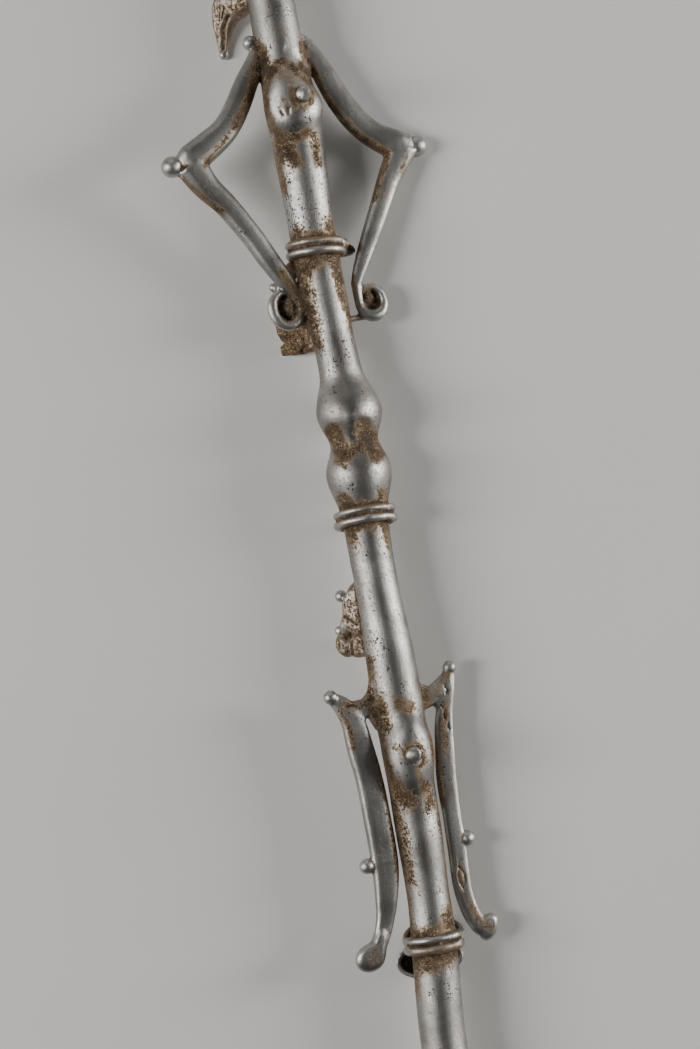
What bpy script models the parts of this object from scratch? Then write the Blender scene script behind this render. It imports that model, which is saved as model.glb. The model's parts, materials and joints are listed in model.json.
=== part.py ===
"""Ceremonial staff: one iron casting, laid down along Y with its head at +Y.

Heights run up the shaft from its foot. A stylised figure is cast on the staff. Its sides
are given by "out", the distance from the shaft's middle line, negative to the left as seen
from above with the head up. The figure is turned about the shaft, right side down, so the
staff rests on its right elbow and on the lugs along its back.
"""
import math

import bmesh
import bpy
from mathutils import Matrix, Vector

# Whole staff
LENGTH = 0.900
SHAFT_RADIUS = 0.0098
FOOT_RADIUS = 0.0085
FIGURE_TURN = math.radians(12.5)
REST_SINK = 0.0004

# Middle line of the shaft: height and shift to the right
BENDS = (
    (0.000, -0.0008),
    (0.260, 0.0000),
    (0.318, 0.0036),
    (0.430, 0.0043),
    (0.475, 0.0034),
    (0.530, 0.0041),
    (0.595, 0.0013),
    (0.655, 0.0012),
    (0.700, 0.0000),
    (0.900, -0.0012),
)

# Double strand rings: height, tilt of the front towards the head in degrees, slant of the
# right side in degrees, shift to the right, extra radius
RING_FOOT = (0.0850, 0.0, 0.0, 0.0000, 0.0000)
RING_LOW = (0.3053, 3.5, 0.0, 0.0000, 0.0000)
RING_MIDDLE = (0.4881, 7.0, 0.5, 0.0000, 0.0005)
RING_HIGH = (0.6040, 1.5, -2.5, 0.0003, -0.0001)
RING_HEAD_BELOW_TOP = 0.1050
STRAND_UPPER_RADIUS = 0.0017
STRAND_LOWER_RADIUS = 0.0020
STRAND_PITCH = 0.0035
STRAND_PROUD = 0.0013
CORE_RADIUS = 0.0022
LOOSE_STRAND_RADIUS = 0.0012
LOOSE_STRAND_TILT = -24.0
LOOSE_STRAND_RISE = 0.0024

# Free strand end that stands off behind the high ring: outline of (out, height)
RING_HIGH_TIP = (
    (0.0090, 0.6060),
    (0.0158, 0.6049),
    (0.0175, 0.6034),
    (0.0184, 0.6016),
    (0.0179, 0.6004),
    (0.0152, 0.5992),
    (0.0090, 0.6001),
)
RING_HIGH_TIP_HALF_DEPTH = 0.0013
RING_HIGH_TIP_BACK = 0.0043

# Two turned knobs at the middle of the shaft
KNOB_UPPER_AT = 0.5338
KNOB_SPACING = 0.0265
KNOB_RISE = 0.0042
KNOB_REACH_UP = 0.0170
KNOB_REACH_BETWEEN = 0.0155
KNOB_REACH_DOWN = 0.0200

# Other swellings and necks: height, reach to the head, reach to the foot, change of the radius
FOOT_KNOB = (0.0420, 0.0240, 0.0200, 0.0035)
CALF = (0.3270, 0.0300, 0.0240, -0.0007)
HIP = (0.4125, 0.0450, 0.0450, 0.0009)
WAIST = (0.4640, 0.0300, 0.0400, -0.0005)
NECK = (0.5620, 0.0260, 0.0260, -0.0009)
CHEST = (0.6600, 0.0550, 0.0500, 0.0013)
HEAD_SWELL_BELOW_TOP = 0.0620
HEAD_SWELL_REACH_UP = 0.0200
HEAD_SWELL_REACH_DOWN = 0.0240
HEAD_SWELL_RISE = 0.0038
HEAD_KNOB_RADIUS = 0.0130

# Navels: long low swellings on the front, each with a stud
NAVEL_HIGH_AT = 0.6680
NAVEL_HIGH_HALF_LENGTH = 0.0205
NAVEL_LOW_AT = 0.3850
NAVEL_LOW_HALF_LENGTH = 0.0225
NAVEL_HALF_WIDTH = 0.0122
NAVEL_HALF_DEPTH = 0.0103
NAVEL_PROUD = 0.0034
NAVEL_STUD_RADIUS = 0.0034
NAVEL_STUD_PROUD = 0.0007
NAVEL_HIGH_STUD = (0.0038, 0.6670)
NAVEL_LOW_STUD = (0.0018, 0.3866)

# Upper arms, akimbo: out, height and half width of each station
ARM_FLAT = 0.85
LEFT_UPPER_ARM = (
    (-0.0075, 0.6930, 0.0036),
    (-0.0117, 0.6852, 0.0044),
    (-0.0171, 0.6776, 0.0049),
    (-0.0234, 0.6675, 0.0053),
    (-0.0304, 0.6588, 0.0056),
    (-0.0391, 0.6527, 0.0063),
    (-0.0470, 0.6480, 0.0064),
    (-0.0508, 0.6462, 0.0046),
)
LEFT_FOREARM = (
    (-0.0472, 0.6458, 0.0068),
    (-0.0422, 0.6366, 0.0058),
    (-0.0346, 0.6268, 0.0049),
    (-0.0264, 0.6134, 0.0046),
    (-0.0208, 0.6025, 0.0044),
    (-0.0155, 0.5925, 0.0038),
    (-0.0115, 0.5860, 0.0026),
)
RIGHT_UPPER_ARM = (
    (0.0080, 0.6930, 0.0040),
    (0.0126, 0.6863, 0.0044),
    (0.0163, 0.6782, 0.0047),
    (0.0207, 0.6667, 0.0052),
    (0.0263, 0.6565, 0.0053),
    (0.0334, 0.6489, 0.0055),
    (0.0432, 0.6430, 0.0063),
    (0.0482, 0.6422, 0.0052),
)
RIGHT_FOREARM = (
    (0.0450, 0.6420, 0.0064),
    (0.0404, 0.6350, 0.0055),
    (0.0362, 0.6282, 0.0048),
    (0.0307, 0.6172, 0.0044),
    (0.0240, 0.6046, 0.0039),
    (0.0180, 0.5935, 0.0031),
    (0.0146, 0.5865, 0.0022),
)
LEFT_ELBOW_OUT = 0.0552
LEFT_ELBOW_AT = 0.6462
RIGHT_ELBOW_OUT = 0.0512
RIGHT_ELBOW_AT = 0.6418
ELBOW_STUD_RADIUS = 0.0046
LEFT_SHOULDER_STUD = (-0.0123, 0.6942, 0.0031)
RIGHT_SHOULDER_STUD = (0.0128, 0.6909, 0.0024)

# Scroll hands: out, height, half width and half height of each, and the strand that runs
# down beside the shaft, outwards and up round a shallow hollow
SCROLL_LEFT = (0.0169, 0.5805, 0.0061, 0.0073)
SCROLL_RIGHT = (0.0198, 0.5787, 0.0055, 0.0063)
SCROLL_TURNS = 0.84
SCROLL_STRAND = 0.0024
SCROLL_END_STRAND = 0.0016
SCROLL_FLOOR_SHARE = 0.80
SCROLL_FLOOR_FLAT = 0.25
SCROLL_BOSS_RADIUS = 0.0026
SCROLL_BOSS_IN = 0.0010
SCROLL_BOSS_RISE = 0.0020
HIP_WEB_SHORT = 0.0039
HIP_WEB_HALF_WIDTH = 0.0019

# Lower arms, hanging: flat straps with a stud at the shoulder and a round foot
STRAP_FLAT = 0.62
LEFT_STRAP = (
    (-0.0270, 0.4140, 0.0030),
    (-0.0235, 0.4100, 0.0042),
    (-0.0205, 0.4030, 0.0050),
    (-0.0191, 0.3905, 0.0057),
    (-0.0176, 0.3775, 0.0057),
    (-0.0167, 0.3520, 0.0058),
    (-0.0168, 0.3390, 0.0056),
    (-0.0182, 0.3269, 0.0047),
    (-0.0202, 0.3178, 0.0037),
    (-0.0233, 0.3100, 0.0035),
    (-0.0275, 0.3045, 0.0040),
)
RIGHT_STRAP = (
    (0.0243, 0.4170, 0.0026),
    (0.0222, 0.4110, 0.0034),
    (0.0193, 0.4000, 0.0037),
    (0.0176, 0.3900, 0.0041),
    (0.0157, 0.3720, 0.0043),
    (0.0155, 0.3570, 0.0039),
    (0.0155, 0.3410, 0.0040),
    (0.0154, 0.3255, 0.0039),
    (0.0171, 0.3158, 0.0037),
    (0.0203, 0.3089, 0.0039),
    (0.0238, 0.3062, 0.0042),
)

# Webs between the straps and the shaft: outlines of (out, height)
LEFT_WEB = (
    (-0.0279, 0.4158),
    (-0.0243, 0.4134),
    (-0.0193, 0.4120),
    (-0.0150, 0.4122),
    (-0.0122, 0.4148),
    (-0.0106, 0.4200),
    (-0.0060, 0.4150),
    (-0.0060, 0.3960),
    (-0.0114, 0.3985),
    (-0.0138, 0.4042),
    (-0.0163, 0.4030),
    (-0.0190, 0.3990),
    (-0.0220, 0.4030),
    (-0.0258, 0.4100),
)
RIGHT_WEB = (
    (0.0236, 0.4200),
    (0.0214, 0.4170),
    (0.0182, 0.4146),
    (0.0144, 0.4125),
    (0.0100, 0.4150),
    (0.0060, 0.4100),
    (0.0060, 0.4010),
    (0.0114, 0.4030),
    (0.0151, 0.4041),
    (0.0168, 0.4020),
    (0.0180, 0.3960),
    (0.0208, 0.4010),
    (0.0229, 0.4055),
    (0.0257, 0.4171),
)
WEB_HALF_DEPTH = 0.0018
STRAP_SHOULDER_LEFT = (-0.0283, 0.4152, 0.0031)
STRAP_SHOULDER_RIGHT = (0.0248, 0.4190, 0.0029)
STRAP_STUD_LEFT = (-0.0244, 0.3422, 0.0034)
STRAP_STUD_RIGHT = (0.0205, 0.3459, 0.0034)

# Paddle feet of the straps: outlines of (out, height)
FOOT_LEFT = (
    (-0.0245, 0.3136),
    (-0.0262, 0.3110),
    (-0.0308, 0.3093),
    (-0.0337, 0.3071),
    (-0.0348, 0.3044),
    (-0.0345, 0.3018),
    (-0.0328, 0.2994),
    (-0.0296, 0.2979),
    (-0.0261, 0.2982),
    (-0.0233, 0.2998),
    (-0.0218, 0.3028),
    (-0.0206, 0.3080),
    (-0.0192, 0.3148),
    (-0.0215, 0.3173),
)
FOOT_RIGHT = (
    (0.0190, 0.3130),
    (0.0218, 0.3116),
    (0.0248, 0.3123),
    (0.0268, 0.3124),
    (0.0286, 0.3108),
    (0.0288, 0.3076),
    (0.0270, 0.3030),
    (0.0240, 0.3012),
    (0.0211, 0.3022),
    (0.0199, 0.3050),
    (0.0186, 0.3080),
)
FOOT_HALF_DEPTH = 0.0030

# Lugs along the back, all leaning to the left: out, height and half width of each station
LUG_LEAN = math.radians(30.0)
LUG_FLAT = 0.60
LUG_HEAD = (
    (0.0060, 0.7175, 0.0078),
    (0.0130, 0.7170, 0.0078),
    (0.0206, 0.7138, 0.0078),
    (0.0245, 0.7085, 0.0056),
    (0.0261, 0.7033, 0.0038),
    (0.0270, 0.6992, 0.0027),
    (0.0276, 0.6956, 0.0021),
)
LUG_CHEST = (
    (0.0060, 0.6010, 0.0034),
    (0.0140, 0.5965, 0.0036),
    (0.0200, 0.5890, 0.0040),
    (0.0205, 0.5810, 0.0055),
)

# Flat parts of the lugs: outlines of (out, height)
LUG_CHEST_BLOCK = (
    (0.0252, 0.5830),
    (0.0260, 0.5770),
    (0.0258, 0.5715),
    (0.0250, 0.5694),
    (0.0232, 0.5674),
    (0.0256, 0.5662),
    (0.0260, 0.5636),
    (0.0253, 0.5621),
    (0.0210, 0.5616),
    (0.0173, 0.5613),
    (0.0137, 0.5615),
    (0.0050, 0.5614),
    (0.0050, 0.5860),
    (0.0140, 0.5930),
    (0.0210, 0.5930),
)
LUG_THIGH_BODY = (
    (0.0040, 0.4625),
    (0.0113, 0.4609),
    (0.0135, 0.4586),
    (0.0162, 0.4555),
    (0.0173, 0.4527),
    (0.0178, 0.4497),
    (0.0184, 0.4470),
    (0.0200, 0.4445),
    (0.0208, 0.4415),
    (0.0190, 0.4380),
    (0.0040, 0.4360),
)
LUG_THIGH_LOBE_OUTER = (
    (0.0196, 0.4412),
    (0.0232, 0.4394),
    (0.0243, 0.4359),
    (0.0237, 0.4328),
    (0.0213, 0.4302),
    (0.0184, 0.4304),
    (0.0168, 0.4330),
    (0.0172, 0.4395),
)
LUG_THIGH_LOBE_INNER = (
    (0.0176, 0.4392),
    (0.0186, 0.4350),
    (0.0186, 0.4308),
    (0.0160, 0.4293),
    (0.0140, 0.4291),
    (0.0060, 0.4300),
    (0.0060, 0.4405),
)
LUG_BLOCK_HALF_DEPTH = 0.0024
LUG_BODY_HALF_DEPTH = 0.0030
LUG_LOBE_OUTER_HALF_DEPTH = 0.0034
LUG_LOBE_INNER_HALF_DEPTH = 0.0026
LUG_HEAD_TIP = (0.0278, 0.6944, 0.0021)
LUG_CHEST_STUD = (0.0236, 0.5918, 0.0021)
LUG_THIGH_STUD_HIGH = (0.0183, 0.4563, 0.0027)
LUG_THIGH_STUD_LOW = (0.0222, 0.4417, 0.0022)

# Dish behind the shaft, under the low ring, open to the front
DISH_AT = 0.2968
DISH_SHIFT = -0.0024
DISH_HALF_WIDTH = 0.0146
DISH_HALF_LENGTH = 0.0082
DISH_DEPTH = 0.0092
DISH_RIM_BACK = 0.0066
DISH_WALL = 0.0020
DISH_STEM_RADIUS = 0.0050

# Slab under the floor's level
SLAB_WIDTH = 0.4000
SLAB_THICKNESS = 0.0500

# Facets
SHAFT_SIDES = 16
LIMB_SIDES = 8
RING_FACETS = 12
STRAND_SIDES = 6
CORE_SIDES = 4
STUD_FACETS = 8
ROUND_FACETS = 10
DISH_ROWS = 8
SCROLL_STEPS = 9
ARM_STEPS = 2
LONG_STEP = 0.0400
SHORT_STEP = 0.0060
WELD_DISTANCE = 0.000002
SPECK_VOLUME = 1e-12
SHARP_ANGLE = math.radians(50.0)

KNOB_LOWER_AT = KNOB_UPPER_AT - KNOB_SPACING
RING_HEAD = (LENGTH - RING_HEAD_BELOW_TOP, 0.0, 0.0, 0.0000, 0.0000)
HEAD_SWELL_AT = LENGTH - HEAD_SWELL_BELOW_TOP
HEAD_KNOB_AT = LENGTH - HEAD_KNOB_RADIUS
REST_DEPTH = RIGHT_ELBOW_OUT * math.sin(FIGURE_TURN) + ELBOW_STUD_RADIUS - REST_SINK
KNOB_UPPER = (KNOB_UPPER_AT, KNOB_REACH_UP, KNOB_REACH_BETWEEN, KNOB_RISE)
KNOB_LOWER = (KNOB_LOWER_AT, KNOB_REACH_BETWEEN, KNOB_REACH_DOWN, KNOB_RISE)
HEAD_SWELL = (HEAD_SWELL_AT, HEAD_SWELL_REACH_UP, HEAD_SWELL_REACH_DOWN, HEAD_SWELL_RISE)
SWELLINGS = (FOOT_KNOB, CALF, HIP, WAIST, KNOB_LOWER, KNOB_UPPER, NECK, CHEST, HEAD_SWELL)


def clear_scene():
    for old in list(bpy.data.objects):
        bpy.data.objects.remove(old, do_unlink=True)


def new_collection(name):
    collection = bpy.data.collections.new(name)
    bpy.context.scene.collection.children.link(collection)
    return collection


def iron():
    """Grey iron with a worn polish."""
    material = bpy.data.materials.new("worn iron")
    material.use_nodes = True
    shader = material.node_tree.nodes["Principled BSDF"]
    shader.inputs["Base Color"].default_value = (0.42, 0.41, 0.39, 1.0)
    shader.inputs["Roughness"].default_value = 0.36
    shader.inputs["Metallic"].default_value = 1.0
    return material


def smooth_value(keys, at):
    """Value at a place on a smooth line through keys of (place, value), in rising order."""
    if at <= keys[0][0]:
        return keys[0][1]
    if at >= keys[-1][0]:
        return keys[-1][1]
    last = len(keys) - 1
    i = max(k for k in range(last) if keys[k][0] <= at)

    def slope(k):
        low = keys[max(k - 1, 0)]
        high = keys[min(k + 1, last)]
        return (high[1] - low[1]) / (high[0] - low[0])

    span = keys[i + 1][0] - keys[i][0]
    t = (at - keys[i][0]) / span
    start = (1 + 2 * t) * (1 - t) ** 2 * keys[i][1] + t * (1 - t) ** 2 * span * slope(i)
    end = t ** 2 * (3 - 2 * t) * keys[i + 1][1] - t ** 2 * (1 - t) * span * slope(i + 1)
    return start + end


def middle_line(height):
    """Shift of the shaft's middle to the right at a height."""
    return smooth_value(BENDS, height)


def shaft_radius(height):
    radius = SHAFT_RADIUS
    for centre, reach_up, reach_down, rise in SWELLINGS:
        offset = height - centre
        reach = reach_up if offset > 0 else reach_down
        if abs(offset) < reach:
            radius += rise * math.cos(0.5 * math.pi * offset / reach) ** 2
    return radius


def on_figure(out, height, forward):
    """Point given by the turned figure's side, height and front."""
    x = middle_line(height) + out * math.cos(FIGURE_TURN) + forward * math.sin(FIGURE_TURN)
    z = forward * math.cos(FIGURE_TURN) - out * math.sin(FIGURE_TURN)
    return Vector((x, height, z))


def on_lug(out, height, across):
    """Point in the plane of the lugs, which leaves the shaft to the left and down."""
    x = middle_line(height) - out * math.cos(LUG_LEAN) + across * math.sin(LUG_LEAN)
    z = -out * math.sin(LUG_LEAN) - across * math.cos(LUG_LEAN)
    return Vector((x, height, z))


def add_mesh(name, mesh, collection):
    piece = bpy.data.objects.new(name, mesh)
    collection.objects.link(piece)
    piece.hide_render = True
    piece.display_type = "WIRE"
    return piece


def evaluated_mesh(piece):
    """A plain copy of a piece's mesh, with its curves and modifiers worked out."""
    bpy.context.view_layer.update()
    graph = bpy.context.evaluated_depsgraph_get()
    return bpy.data.meshes.new_from_object(piece.evaluated_get(graph), depsgraph=graph)


def weld(mesh):
    work = bmesh.new()
    work.from_mesh(mesh)
    bmesh.ops.remove_doubles(work, verts=work.verts, dist=WELD_DISTANCE)
    bmesh.ops.recalc_face_normals(work, faces=work.faces)
    work.to_mesh(mesh)
    work.free()


def skin_volume(faces):
    """Volume inside a closed skin, below zero where it faces into a pocket."""
    total = 0.0
    for face in faces:
        first = face.verts[0].co
        for i in range(1, len(face.verts) - 1):
            total += first.dot(face.verts[i].co.cross(face.verts[i + 1].co)) / 6.0
    return total


def one_skin(mesh):
    """Make solid the sealed pockets under the strands, and drop specks where skins only touch."""
    work = bmesh.new()
    work.from_mesh(mesh)
    waiting = set(work.faces)
    while waiting:
        skin = {waiting.pop()}
        edge_of_skin = list(skin)
        while edge_of_skin:
            face = edge_of_skin.pop()
            near = {other for edge in face.edges for other in edge.link_faces} & waiting
            waiting -= near
            skin |= near
            edge_of_skin.extend(near)
        if skin_volume(skin) < SPECK_VOLUME:
            bmesh.ops.delete(work, geom=list(skin), context="FACES")
    work.to_mesh(mesh)
    work.free()


def tube(name, points, sides, collection):
    """Closed round bar through points of (x, y, z, radius)."""
    line = bpy.data.curves.new(name, "CURVE")
    line.dimensions = "3D"
    line.bevel_depth = 1.0
    line.bevel_resolution = (sides - 4) // 2
    line.use_fill_caps = True
    spline = line.splines.new("POLY")
    spline.points.add(len(points) - 1)
    for point, (x, y, z, radius) in zip(spline.points, points):
        point.co = (x, y, z, 1.0)
        point.radius = radius
    guide = bpy.data.objects.new(name + "_line", line)
    collection.objects.link(guide)
    mesh = evaluated_mesh(guide)
    bpy.data.objects.remove(guide, do_unlink=True)
    weld(mesh)
    return add_mesh(name, mesh, collection)


def smooth_stations(stations, steps):
    """Stations on a smooth line through the given ones, with steps to each stretch."""
    columns = [list(enumerate(column)) for column in zip(*stations)]
    count = (len(stations) - 1) * steps + 1
    return [tuple(smooth_value(keys, i / steps) for keys in columns) for i in range(count)]


def limb(name, stations, flat, place, collection):
    """Bar along stations of (out, height, half width), flattened across its plane."""
    points = [(out, height, 0.0, half) for out, height, half in stations]
    piece = tube(name, points, LIMB_SIDES, collection)
    for vertex in piece.data.vertices:
        out, height, across = vertex.co
        vertex.co = place(out, height, across * flat)
    weld(piece.data)
    return piece


def plate(name, outline, half_depth, place, collection, back=0.0):
    """Flat plate cut to an outline of (out, height), some way behind the middle line."""
    work = bmesh.new()
    faces = []
    for across in (-half_depth, half_depth):
        corners = [work.verts.new((out, height, across - back)) for out, height in outline]
        faces.append(work.faces.new(corners))
    rear, front = [list(face.verts) for face in faces]
    for i in range(len(outline)):
        work.faces.new((rear[i - 1], rear[i], front[i], front[i - 1]))
    bmesh.ops.recalc_face_normals(work, faces=work.faces)
    bmesh.ops.triangulate(work, faces=work.faces)
    for vertex in work.verts:
        vertex.co = place(*vertex.co)
    mesh = bpy.data.meshes.new(name)
    work.to_mesh(mesh)
    work.free()
    return add_mesh(name, mesh, collection)


def ball(name, centre, radius, collection, stretch=(1.0, 1.0, 1.0), facets=STUD_FACETS):
    work = bmesh.new()
    size = Matrix.Diagonal((*[radius * share for share in stretch], 1.0))
    rows = 2 * (facets // 4) + 2
    bmesh.ops.create_uvsphere(work, u_segments=facets, v_segments=rows, radius=1.0, matrix=size)
    bmesh.ops.translate(work, verts=work.verts, vec=centre)
    mesh = bpy.data.meshes.new(name)
    work.to_mesh(mesh)
    work.free()
    return add_mesh(name, mesh, collection)


def shaft_stations():
    """Heights of the shaft's cross sections, closer together on the knobs."""
    count = round(LENGTH / LONG_STEP)
    heights = {round(HEAD_KNOB_AT * i / count, 5) for i in range(count + 1)}
    for lowest, highest in ((KNOB_LOWER, KNOB_UPPER), (FOOT_KNOB,) * 2, (HEAD_SWELL,) * 2):
        low = lowest[0] - lowest[2]
        high = highest[0] + highest[1]
        heights = {h for h in heights if not low - SHORT_STEP < h < high + SHORT_STEP}
        steps = round((high - low) / SHORT_STEP)
        heights.update(round(low + (high - low) * i / steps, 5) for i in range(steps + 1))
    return sorted(heights)


def make_shaft(collection):
    points = []
    for height in shaft_stations():
        radius = shaft_radius(height) if height > 0 else FOOT_RADIUS
        points.append((middle_line(height), height, 0.0, radius))
    shaft = tube("shaft", points, SHAFT_SIDES, collection)
    for vertex in shaft.data.vertices:
        if vertex.co.y < 0.5 * SHORT_STEP:
            vertex.co.y = 0.0
    return shaft


def strand(name, height, shift, radius, thickness, tilt, slant, collection, sides=STRAND_SIDES):
    """One closed strand round the shaft, tilted and slanted in degrees."""
    upright = Matrix.Rotation(math.radians(90.0 - tilt), 4, "X")
    turn = Matrix.Rotation(math.radians(slant), 4, "Z") @ upright
    bpy.ops.mesh.primitive_torus_add(
        major_segments=RING_FACETS,
        minor_segments=sides,
        major_radius=radius,
        minor_radius=thickness,
    )
    torus = bpy.context.object
    mesh = torus.data
    bpy.data.objects.remove(torus, do_unlink=True)
    middle = (middle_line(height) + shift, height, 0.0)
    mesh.transform(Matrix.Translation(middle) @ turn)
    return add_mesh(name, mesh, collection)


def make_ring(name, ring, collection):
    """Two strands side by side, with a core that fills the space under them."""
    height, tilt, slant, shift, extra = ring
    radius = shaft_radius(height) + extra
    for place, side, thickness in (("lower", -0.5, STRAND_LOWER_RADIUS),
                                   ("upper", 0.5, STRAND_UPPER_RADIUS)):
        strand(f"{name}_strand_{place}", height + side * STRAND_PITCH, shift,
               radius + STRAND_PROUD, thickness, tilt, slant, collection)
    strand(name + "_core", height, shift, radius, CORE_RADIUS, tilt, slant, collection, CORE_SIDES)


def make_rings(collection):
    make_ring("ring_foot", RING_FOOT, collection)
    make_ring("ring_low", RING_LOW, collection)
    make_ring("ring_middle", RING_MIDDLE, collection)
    make_ring("ring_high", RING_HIGH, collection)
    make_ring("ring_head", RING_HEAD, collection)
    plate("ring_high_tip", RING_HIGH_TIP, RING_HIGH_TIP_HALF_DEPTH, on_figure, collection,
          RING_HIGH_TIP_BACK)
    loose_at = RING_LOW[0] + LOOSE_STRAND_RISE
    loose_radius = shaft_radius(loose_at) + 2 * LOOSE_STRAND_RADIUS
    strand("ring_low_loose", loose_at, 0.0, loose_radius, LOOSE_STRAND_RADIUS,
           LOOSE_STRAND_TILT, 0.0, collection)


def make_navel(name, height, half_length, stud, collection):
    """Long swelling on the front of the shaft, with a stud beside its crest."""
    front = shaft_radius(height) + NAVEL_PROUD
    centre = on_figure(0.0, height, front - NAVEL_HALF_DEPTH)
    half_sizes = (NAVEL_HALF_WIDTH, half_length, NAVEL_HALF_DEPTH)
    ball(name, centre, 1.0, collection, half_sizes, ROUND_FACETS)
    middle = on_figure(*stud, front + NAVEL_STUD_PROUD)
    ball(name + "_stud", middle, NAVEL_STUD_RADIUS, collection)


def scroll_stations(side, out, height, half_width, half_height):
    """Strand from beside the shaft, down, outwards and up again."""
    stations = []
    for i in range(SCROLL_STEPS + 1):
        share = i / SCROLL_STEPS
        angle = 2.0 * math.pi * SCROLL_TURNS * share
        half = SCROLL_STRAND + (SCROLL_END_STRAND - SCROLL_STRAND) * share
        sideways = side * (out - half_width * math.cos(angle))
        stations.append((sideways, height - half_height * math.sin(angle), half))
    return stations


def make_scroll_hollow(name, side, scroll, collection):
    """Floor of the scroll's hollow, with a boss, and the web that ties it to the shaft."""
    out, height, half_width, half_height = scroll
    reach = SCROLL_FLOOR_SHARE * half_height
    half = SCROLL_FLOOR_SHARE * half_width
    slab = ((side * out, height - reach, half), (side * out, height + reach, half))
    limb(name + "_floor", slab, SCROLL_FLOOR_FLAT, on_figure, collection)
    boss = on_figure(side * (out - SCROLL_BOSS_IN), height + SCROLL_BOSS_RISE, 0.0)
    ball(name + "_boss", boss, SCROLL_BOSS_RADIUS, collection)
    hip_at = height - half_height
    web = ((0.0, hip_at, HIP_WEB_HALF_WIDTH),
           (side * (out - HIP_WEB_SHORT), hip_at, HIP_WEB_HALF_WIDTH))
    limb(name + "_hip_web", web, 1.0, on_figure, collection)


def make_upper_arm(name, side, arm, forearm, scroll, elbow, shoulder, collection):
    """Arm with its hand on the hip: upper arm, forearm, scroll hand and studs."""
    limb(name, smooth_stations(arm, ARM_STEPS), ARM_FLAT, on_figure, collection)
    whole = list(forearm) + scroll_stations(side, *scroll)
    limb(name + "_forearm", whole, ARM_FLAT, on_figure, collection)
    make_scroll_hollow(name + "_scroll", side, scroll, collection)
    joint = on_figure(forearm[0][0], forearm[0][1], 0.0)
    ball(name + "_elbow", joint, forearm[0][2], collection, (1.0, 1.0, ARM_FLAT))
    stud = on_figure(side * elbow[0], elbow[1], 0.0)
    ball(name + "_elbow_stud", stud, ELBOW_STUD_RADIUS, collection, facets=ROUND_FACETS)
    ball(name + "_shoulder_stud", on_figure(*shoulder[:2], 0.0), shoulder[2], collection)


def make_lower_arm(name, strap, web, shoulder, stud, foot, collection):
    """Flat strap hung from a shoulder web, with studs and a paddle foot."""
    limb(name, strap, STRAP_FLAT, on_figure, collection)
    plate(name + "_web", web, WEB_HALF_DEPTH, on_figure, collection)
    for part, (out, height, radius) in (("shoulder_stud", shoulder), ("stud", stud)):
        ball(f"{name}_{part}", on_figure(out, height, 0.0), radius, collection)
    plate(name + "_foot", foot, FOOT_HALF_DEPTH, on_figure, collection)


def make_lugs(collection):
    """Lugs that leave the shaft's back and hang down, with their studs and lobes."""
    limb("lug_head", LUG_HEAD, LUG_FLAT, on_lug, collection)
    limb("lug_chest", LUG_CHEST, LUG_FLAT, on_lug, collection)
    for name, outline, half_depth in (
        ("lug_chest_block", LUG_CHEST_BLOCK, LUG_BLOCK_HALF_DEPTH),
        ("lug_thigh_body", LUG_THIGH_BODY, LUG_BODY_HALF_DEPTH),
        ("lug_thigh_lobe_outer", LUG_THIGH_LOBE_OUTER, LUG_LOBE_OUTER_HALF_DEPTH),
        ("lug_thigh_lobe_inner", LUG_THIGH_LOBE_INNER, LUG_LOBE_INNER_HALF_DEPTH),
    ):
        plate(name, outline, half_depth, on_lug, collection)
    for name, (out, height, radius) in (
        ("lug_head_tip", LUG_HEAD_TIP),
        ("lug_chest_stud", LUG_CHEST_STUD),
        ("lug_thigh_stud_high", LUG_THIGH_STUD_HIGH),
        ("lug_thigh_stud_low", LUG_THIGH_STUD_LOW),
    ):
        ball(name, on_lug(out, height, 0.0), radius, collection)


def make_dish(collection):
    """Shallow bowl behind the shaft, on a short stem, its hollow facing the front."""
    work = bmesh.new()
    bmesh.ops.create_uvsphere(work, u_segments=SHAFT_SIDES, v_segments=DISH_ROWS, radius=1.0)
    front = [v for v in work.verts if v.co.z > WELD_DISTANCE]
    bmesh.ops.delete(work, geom=front, context="VERTS")
    size = Matrix.Diagonal((DISH_HALF_WIDTH, DISH_HALF_LENGTH, DISH_DEPTH, 1.0))
    bmesh.ops.transform(work, matrix=size, verts=work.verts)
    mesh = bpy.data.meshes.new("dish_skin")
    work.to_mesh(mesh)
    work.free()
    skin = add_mesh("dish_skin", mesh, collection)
    wall = skin.modifiers.new("wall", "SOLIDIFY")
    wall.thickness = DISH_WALL
    wall.offset = -1.0
    bowl = add_mesh("dish", evaluated_mesh(skin), collection)
    bpy.data.objects.remove(skin, do_unlink=True)
    weld(bowl.data)
    x = middle_line(DISH_AT) + DISH_SHIFT
    bowl.data.transform(Matrix.Translation((x, DISH_AT, -DISH_RIM_BACK)))
    depth = DISH_RIM_BACK + DISH_DEPTH - 0.5 * DISH_WALL
    stem = ((middle_line(DISH_AT), DISH_AT, 0.0, DISH_STEM_RADIUS),
            (x, DISH_AT, -depth, DISH_STEM_RADIUS))
    tube("dish_stem", stem, LIMB_SIDES, collection)


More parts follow.
